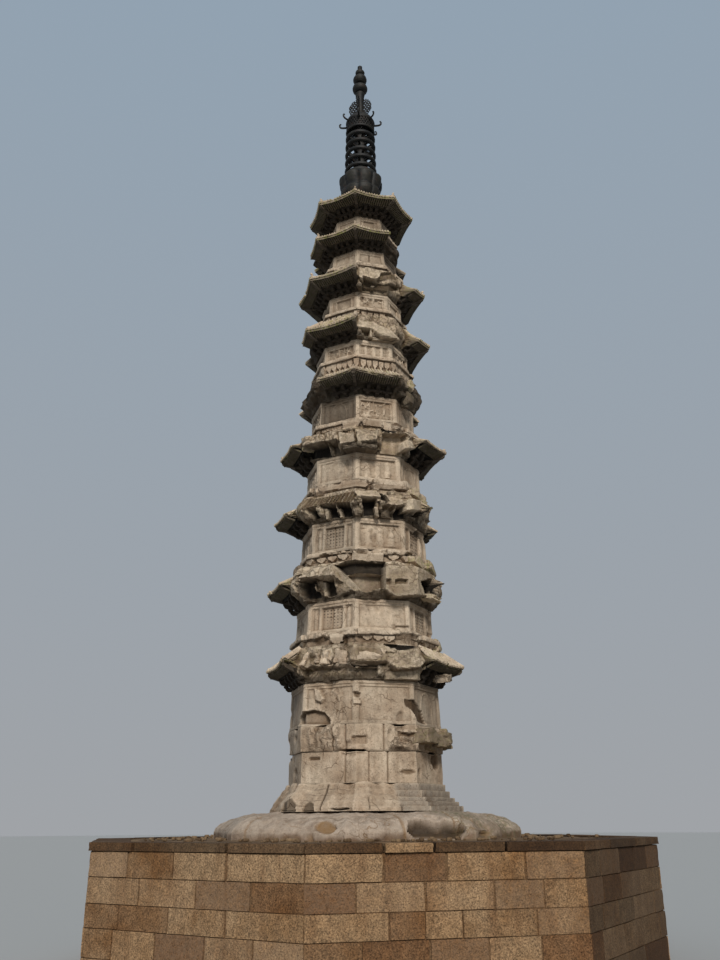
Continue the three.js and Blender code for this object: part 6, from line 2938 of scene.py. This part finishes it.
            "slot", ((-1.5, 4.647), (2.3, 4.589), (4.2, 4.64), (0.6, 4.778), (-3.7, 4.803)), 1.02, 1.02,
            soot=1, rough=0.2, soft=0.01,
        ),
        Form(
            "pale block", ((17.1, 4.498), (40.6, 4.605), (39.5, 4.792), (18.1, 4.689)), 1.2, 1.2, tone=0.9,
            rough=0.2,
        ),
        Form(
            "hollow under it", ((34.5, 4.402), (56.6, 4.505), (57.5, 4.707), (31.1, 4.577)), 1, 1, soot=0.7,
            hollow=0.6, rough=0.5,
        ),
        Form(
            "broken end on the right", ((48, 4.41), (100, 4.41), (100, 4.62), (48, 4.62)), 1, 1.04, soot=0.3,
        ),
        Form(
            "broken end higher up", ((48, 4.62), (100, 4.62), (100, 4.84), (48, 4.84)), 1.05, 1.09, tone=0.1,
        ),
    ),
    "balcony 4": (
        Form(
            "tapered undercut",
            ((-60.6, 4.918), (-25.8, 4.869), (-13.3, 4.875), (-8.2, 4.981), (-24.6, 5.038), (-65.4, 4.991)),
            1, 0.925, hollow=0.4, tone=-0.3, rough=0.2,
        ),
        Form(
            "worn slab", ((-7.3, 4.835), (31.7, 4.894), (51.2, 5.137), (-9, 4.947)), 1.05, 1.03, tone=0.5,
            soft=0.015,
        ),
    ),
    "eaves 4": (
        Form(
            "cavity", ((-79.3, 5.53), (-48.8, 5.461), (-50.1, 5.668), (-94.7, 5.832)), 0.92, 0.92, soot=1,
            rough=0.2,
        ),
        Form(
            "cavity", ((-46.4, 5.47), (-38, 5.478), (-38, 5.612), (-47.7, 5.66)), 0.92, 0.92, soot=0.75,
            hollow=0.3, rough=0.6,
        ),
        Form(
            "rough mass",
            ((-70, 5.661), (-53.9, 5.643), (-36.5, 5.635), (-37.6, 5.81), (-66.3, 5.833), (-102.9, 5.969)),
            1.2, 1.1, soot=0.05, tone=0.2, rough=1.5, soft=0.02,
        ),
        Form(
            "block", ((-35.3, 5.559), (-21.1, 5.522), (-22.6, 5.723), (-36.6, 5.788)), 1.17, 1.15, tone=0.7,
            rough=0.5, soft=0.01,
        ),
        Form(
            "block", ((-20.3, 5.519), (-3, 5.56), (-2.6, 5.801), (-21.1, 5.739)), 1.18, 1.16, tone=0.6,
            rough=0.7, soft=0.01,
        ),
        Form(
            "carved band", ((-32.3, 5.413), (-3.3, 5.428), (-3.5, 5.553), (-32.9, 5.54)), 1.13, 1.15,
            hollow=0.1, tone=0.3, rough=1.6,
        ),
        Form(
            "groove", ((-16.7, 5.512), (-2.6, 5.549), (-2.5, 5.616), (-17.5, 5.56)), 1.08, 1.08, soot=0.85,
            hollow=0.3, rough=0.3, soft=0.01,
        ),
        Form(
            "groove", ((-14.2, 5.431), (-2.8, 5.47), (-2.7, 5.512), (-15, 5.47)), 1.09, 1.09, soot=0.5,
            hollow=0.5, rough=0.3, soft=0.01,
        ),
        Form(
            "gap under the balcony", ((3.6, 5.776), (40.6, 5.903), (40.9, 5.992), (2.7, 5.893)), 0.915, 0.915,
            soot=1, rough=0.2,
        ),
        Form(
            "plain sunk face", ((1.5, 5.473), (24.4, 5.472), (25.3, 5.8), (1.8, 5.759)), 0.95, 0.95,
            tone=0.05, rough=0.15,
        ),
        Form(
            "cavity", ((44.3, 5.472), (58.8, 5.516), (59.9, 5.783), (28.7, 5.606)), 0.93, 0.93, soot=0.9,
            hollow=0.3, rough=0.6,
        ),
        Form(
            "roof slope on the right",
            ((17.2, 5.495), (54, 5.763), (60.1, 5.969), (30.5, 5.798), (17.9, 5.645)), 1.16, 1.02, tone=0.25,
            rough=0.3, soft=0.015,
        ),
    ),
    "balcony 5": (
        Form(
            "block out of place", ((-15.7, 5.848), (2.5, 5.885), (2.7, 6.039), (-16.5, 5.982)), 1.02, 1.02,
            hollow=0.35, tone=-0.3, rough=0.3, soft=0.01,
        ),
        Form(
            "plain block", ((-36, 5.879), (-21.3, 5.832), (-17.5, 5.992), (-38.3, 6.042)), 0.955, 0.955,
            tone=0.2, rough=0.5, soft=0.01,
        ),
        Form(
            "sunk plain stretch", ((7.4, 5.922), (16.5, 5.938), (16.7, 6.129), (7.7, 6.13)), 0.862, 0.862,
            tone=0.4, rough=0.1, soft=0.01,
        ),
        Form(
            "hollow", ((28.3, 6.014), (38.3, 6.125), (22.3, 6.098), (15.9, 6.017)), 0.88, 0.88, soot=0.2,
            hollow=0.9, rough=0.6, soft=0.01,
        ),
    ),
    "eaves 6": (
        Form(
            "corner bracket", ((-22.1, 7.432), (-14.9, 7.486), (-15.9, 7.665), (-26.2, 7.684)), 0.92, 0.93,
            hollow=0.2, rough=1.5,
        ),
        Form(
            "recess", ((-13.4, 7.568), (-5.5, 7.584), (-5.4, 7.735), (-14.6, 7.734)), 0.78, 0.78, soot=0.3,
            hollow=0.95, rough=0.4, soft=0.01,
        ),
        Form(
            "thin arm", ((-7, 7.532), (-4.6, 7.537), (-4.5, 7.686), (-7.2, 7.689)), 0.89, 0.89, tone=0.7,
            rough=0.3, soft=0.008,
        ),
        Form(
            "recess", ((-1.6, 7.615), (16.8, 7.633), (10.4, 7.686), (-1.5, 7.718)), 0.79, 0.79, soot=0.2,
            hollow=0.95, rough=0.4, soft=0.01,
        ),
        Form(
            "roof slope on the front",
            (
                (-21.9, 7.664), (-5.1, 7.671), (14.6, 7.444), (26.4, 7.467), (17.5, 7.713), (-4.2, 7.852),
                (-25.5, 7.793),
            ),
            1, 0.88, tone=0.5, rough=0.4, soft=0.02,
        ),
        Form(
            "ledge", ((-4, 7.513), (21.1, 7.493), (21.2, 7.55), (-4, 7.569)), 0.85, 0.85, tone=0.5, rough=0.4,
            soft=0.01,
        ),
    ),
    "wall 1": (
        Form(
            "arched hollow",
            (
                (-43.2, 1.442), (-44.2, 1.522), (-49.1, 1.608), (-57.7, 1.65), (-65.8, 1.639), (-78, 1.593),
                (-77.5, 1.482),
            ),
            1.03, 1.03, soot=0.1, hollow=0.15, tone=-0.5, soft=0.015,
        ),
        Form(
            "bit of an arch",
            ((-57.1, 1.784), (-51.7, 1.736), (-49.2, 1.788), (-53.2, 1.916), (-58.5, 1.951)), 1.135, 1.12,
            tone=0.3, soft=0.01,
        ),
        Form(
            "chipped hole", ((-24, 1.793), (-19.5, 1.779), (-18.7, 1.846), (-24.8, 1.861)), 1.05, 1.05,
            soot=0.1, hollow=1, rough=0.5, soft=0.01,
        ),
        Form(
            "broken patch",
            (
                (16.2, 1.689), (20, 1.65), (26.3, 1.484), (40.6, 1.465), (35.7, 1.635), (25.6, 1.766),
                (15.6, 1.783),
            ),
            1.06, 1.06, soot=0.45, hollow=1, tone=-0.2, soft=0.01,
        ),
        Form(
            "small ledge", ((-23.4, 1.689), (-18.6, 1.69), (-18.6, 1.744), (-24.2, 1.744)), 1.13, 1.12,
            tone=0.5, rough=0.6, soft=0.01,
        ),
    ),
    "wall 3": (
        Form(
            "hole", ((45.6, 4.272), (54.9, 4.262), (60, 4.364), (53.3, 4.417), (43.4, 4.327)), 0.92, 0.92,
            soot=0.7, hollow=0.6, rough=0.6, soft=0.01,
        ),
    ),
    "slab": (
        Form(
            "round patch",
            (
                (-33.6, 0.132), (-31.7, 0.088), (-28.8, 0.06), (-26.9, 0.087), (-25.9, 0.143), (-26.5, 0.182),
                (-28.6, 0.218), (-30.7, 0.23), (-33.1, 0.217), (-34.2, 0.166),
            ),
            2.17, 2, hollow=0.95, rough=0.1, soft=0.01,
        ),
        Form(
            "broken hollow",
            (
                (-1.4, 0.103), (0.9, 0.013), (16.8, -0.003), (18.8, 0.076), (19.8, 0.168), (14.8, 0.215),
                (3.3, 0.234), (-0, 0.206),
            ),
            2.09, 1.88, soot=0.8, hollow=0.3, tone=-1, rough=2.4, soft=0.02,
        ),
    ),
    "top course": (
        Form(
            "rough block", ((-60.9, 1.112), (-33.7, 1.11), (-34.6, 1.429), (-62.7, 1.424)), 1.165, 1.165,
            tone=0.1, rough=2, soft=0.05,
        ),
        Form(
            "smooth sunk square", ((-25.2, 1.153), (-14.5, 1.172), (-14.4, 1.282), (-26, 1.263)), 1.1, 1.1,
            hollow=0.1, tone=-0.3, rough=0.1, soft=0.01,
        ),
        Form(
            "rough block", ((0.7, 1.095), (24.9, 1.105), (24.3, 1.38), (0.3, 1.393)), 1.16, 1.16, hollow=0.1,
            tone=0.1, rough=2, soft=0.05,
        ),
        Form(
            "crack", ((9.9, 1.295), (16.5, 1.258), (24.8, 1.303), (26.5, 1.346), (16.6, 1.31), (8.4, 1.347)),
            1.13, 1.13, soot=0.1, hollow=0.9, soft=0.01,
        ),
    ),
    "steps": (
        Form(
            "dark half arch", ((-60.6, 0.332), (-61.7, 0.425), (-65.5, 0.477), (-73.9, 0.43), (-77.9, 0.337)),
            1.32, 1.32, soot=0.55, hollow=0.2, tone=-0.3, rough=0.3,
        ),
        Form(
            "dark half arch",
            ((-47.9, 0.329), (-49.1, 0.421), (-52.3, 0.459), (-55.8, 0.411), (-56.5, 0.331)), 1.32, 1.32,
            soot=0.55, hollow=0.2, tone=-0.3, rough=0.3,
        ),
    ),
    "eaves 7": (
        Form(
            "light slope",
            (
                (-26.7, 8.77), (-19.8, 8.632), (-11.2, 8.591), (3, 8.661), (11.5, 8.805), (26.3, 8.905),
                (15, 8.91), (-10.5, 8.916), (-25.7, 8.848),
            ),
            0.93, 0.84, tone=0.4, rough=0.5, soft=0.02,
        ),
        Form(
            "recess above the shelf", ((5.9, 8.693), (36.3, 8.847), (30.9, 8.925), (8.7, 8.829)), 0.8, 0.8,
            soot=0.25, hollow=0.8, rough=0.4, soft=0.01,
        ),
        Form(
            "shelf",
            (
                (-1.6, 8.547), (9.2, 8.57), (14.9, 8.541), (27.8, 8.636), (20.9, 8.682), (0.9, 8.616),
                (-6.4, 8.555),
            ),
            0.9, 0.89, tone=0.8, rough=0.2, soft=0.008,
        ),
        Form(
            "recess below the shelf",
            (
                (-14.1, 8.537), (-1.2, 8.535), (18.8, 8.549), (44.1, 8.692), (44.5, 8.785), (16.2, 8.667),
                (-2.6, 8.644), (-14, 8.685),
            ),
            0.74, 0.74, soot=0.6, hollow=0.9, rough=0.5, soft=0.01,
        ),
        Form(
            "corner bracket",
            ((-24.8, 8.551), (-20.2, 8.41), (-15, 8.424), (-15.5, 8.558), (-20.1, 8.683), (-24.8, 8.708)),
            0.84, 0.84, soot=0.1, hollow=0.3, rough=1.2, soft=0.01,
        ),
        Form(
            "bracket", ((-4.1, 8.481), (0.5, 8.473), (1.3, 8.582), (-4.7, 8.578)), 0.82, 0.82, hollow=0.2,
            tone=0.2, soft=0.01,
        ),
        Form(
            "worn course",
            ((-21, 8.443), (-0.6, 8.446), (23.1, 8.449), (20.7, 8.554), (-0.3, 8.54), (-21, 8.505)), 0.71,
            0.7, soot=0.1, hollow=0.4, tone=-0.2, rough=0.6, soft=0.01,
        ),
    ),
    "eaves 5": (
        Form(
            "light stone by the corner",
            ((27.8, 6.686), (42, 6.759), (59.7, 6.948), (51, 6.978), (30.5, 6.859)), 1.02, 0.98, tone=0.5,
            rough=0.6,
        ),
        Form(
            "grey lobes", ((22.8, 6.501), (40.3, 6.61), (47.8, 6.753), (36.1, 6.725), (20.9, 6.565)), 0.98,
            0.98, soot=0.3, hollow=0.2, soft=0.01,
        ),
    ),
}
# A break's last number is its soot and painted shade.
BROKEN_EAVES = {
    1: (Break(-66, 30, 0.42, 0.15), Break(140, 172, 0.55)),
    2: (Break(-80, 48, 0.38, 0.05), Break(49, 100, 0.32, 0.4)),
    3: (Break(-82, 38, 0.42, 0.1), Break(39, 90, 0.26, 0.4)),
    4: (Break(-80, 38, 0.38), Break(150, 175, 0.50)),
    5: (Break(-125, -56, 0.36, 0.85), Break(17, 110, 0.32, 0.82)),
    6: (Break(-125, -92, 0.30, 0.9), Break(-22, 48, 0.20)),
    7: (Break(-22, 50, 0.22), Break(140, 160, 0.60)),
    8: (Break(-125, -100, 0.6, 0.9), Break(17, 100, 0.12, 0.88)),
    9: (),
}
BROKEN_BALCONIES = {
    2: (Break(-70, -20, 0.45), Break(10, 40, 0.5)),
    3: (Break(-30, 5, 0.6), Break(120, 160, 0.4)),
    4: (Break(-75, -5, 0.05), Break(150, 190, 0.4)),
    5: (Break(5, 40, 0.2),),
    8: (Break(-60, 45, 0.55),),
}


def main() -> None:
    """Build every sub-assembly in order."""
    logging.basicConfig(level=logging.INFO, format="%(message)s")
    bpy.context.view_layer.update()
    shop = Workshop()
    Studio().build()
    Platform().build(shop)
    TowerFoot().build(shop)
    for level, size in enumerate(STOREYS, start=1):
        if level > 1:
            broken = BROKEN_BALCONIES.get(level, ())
            Balcony(level, size, STOREYS[level - 2], broken, FORMS.get(f"balcony {level}", ())).build(shop)
        door, window = CARVINGS[level]
        carvings = {side: door for side in DOORS} | {side: window for side in WINDOWS}
        marks, forms = WALL_MARKS.get(level, ()), FORMS.get(f"wall {level}", ())
        Wall(level, size, carvings, marks, forms, WALL_SIDE_SHADES.get(level, {})).build(shop)
        edge = 0.042 if level <= LARGE_LEVEL else 0.055
        Eaves(level, size, BROKEN_EAVES[level], FORMS.get(f"eaves {level}", ()), edge).build(shop)
    for course, stones in STONES.items():
        remnants(shop, course.replace(" ", "_") + "_remnants", stones)
    Finial().build(shop)


if __name__ == "__main__":
    main()
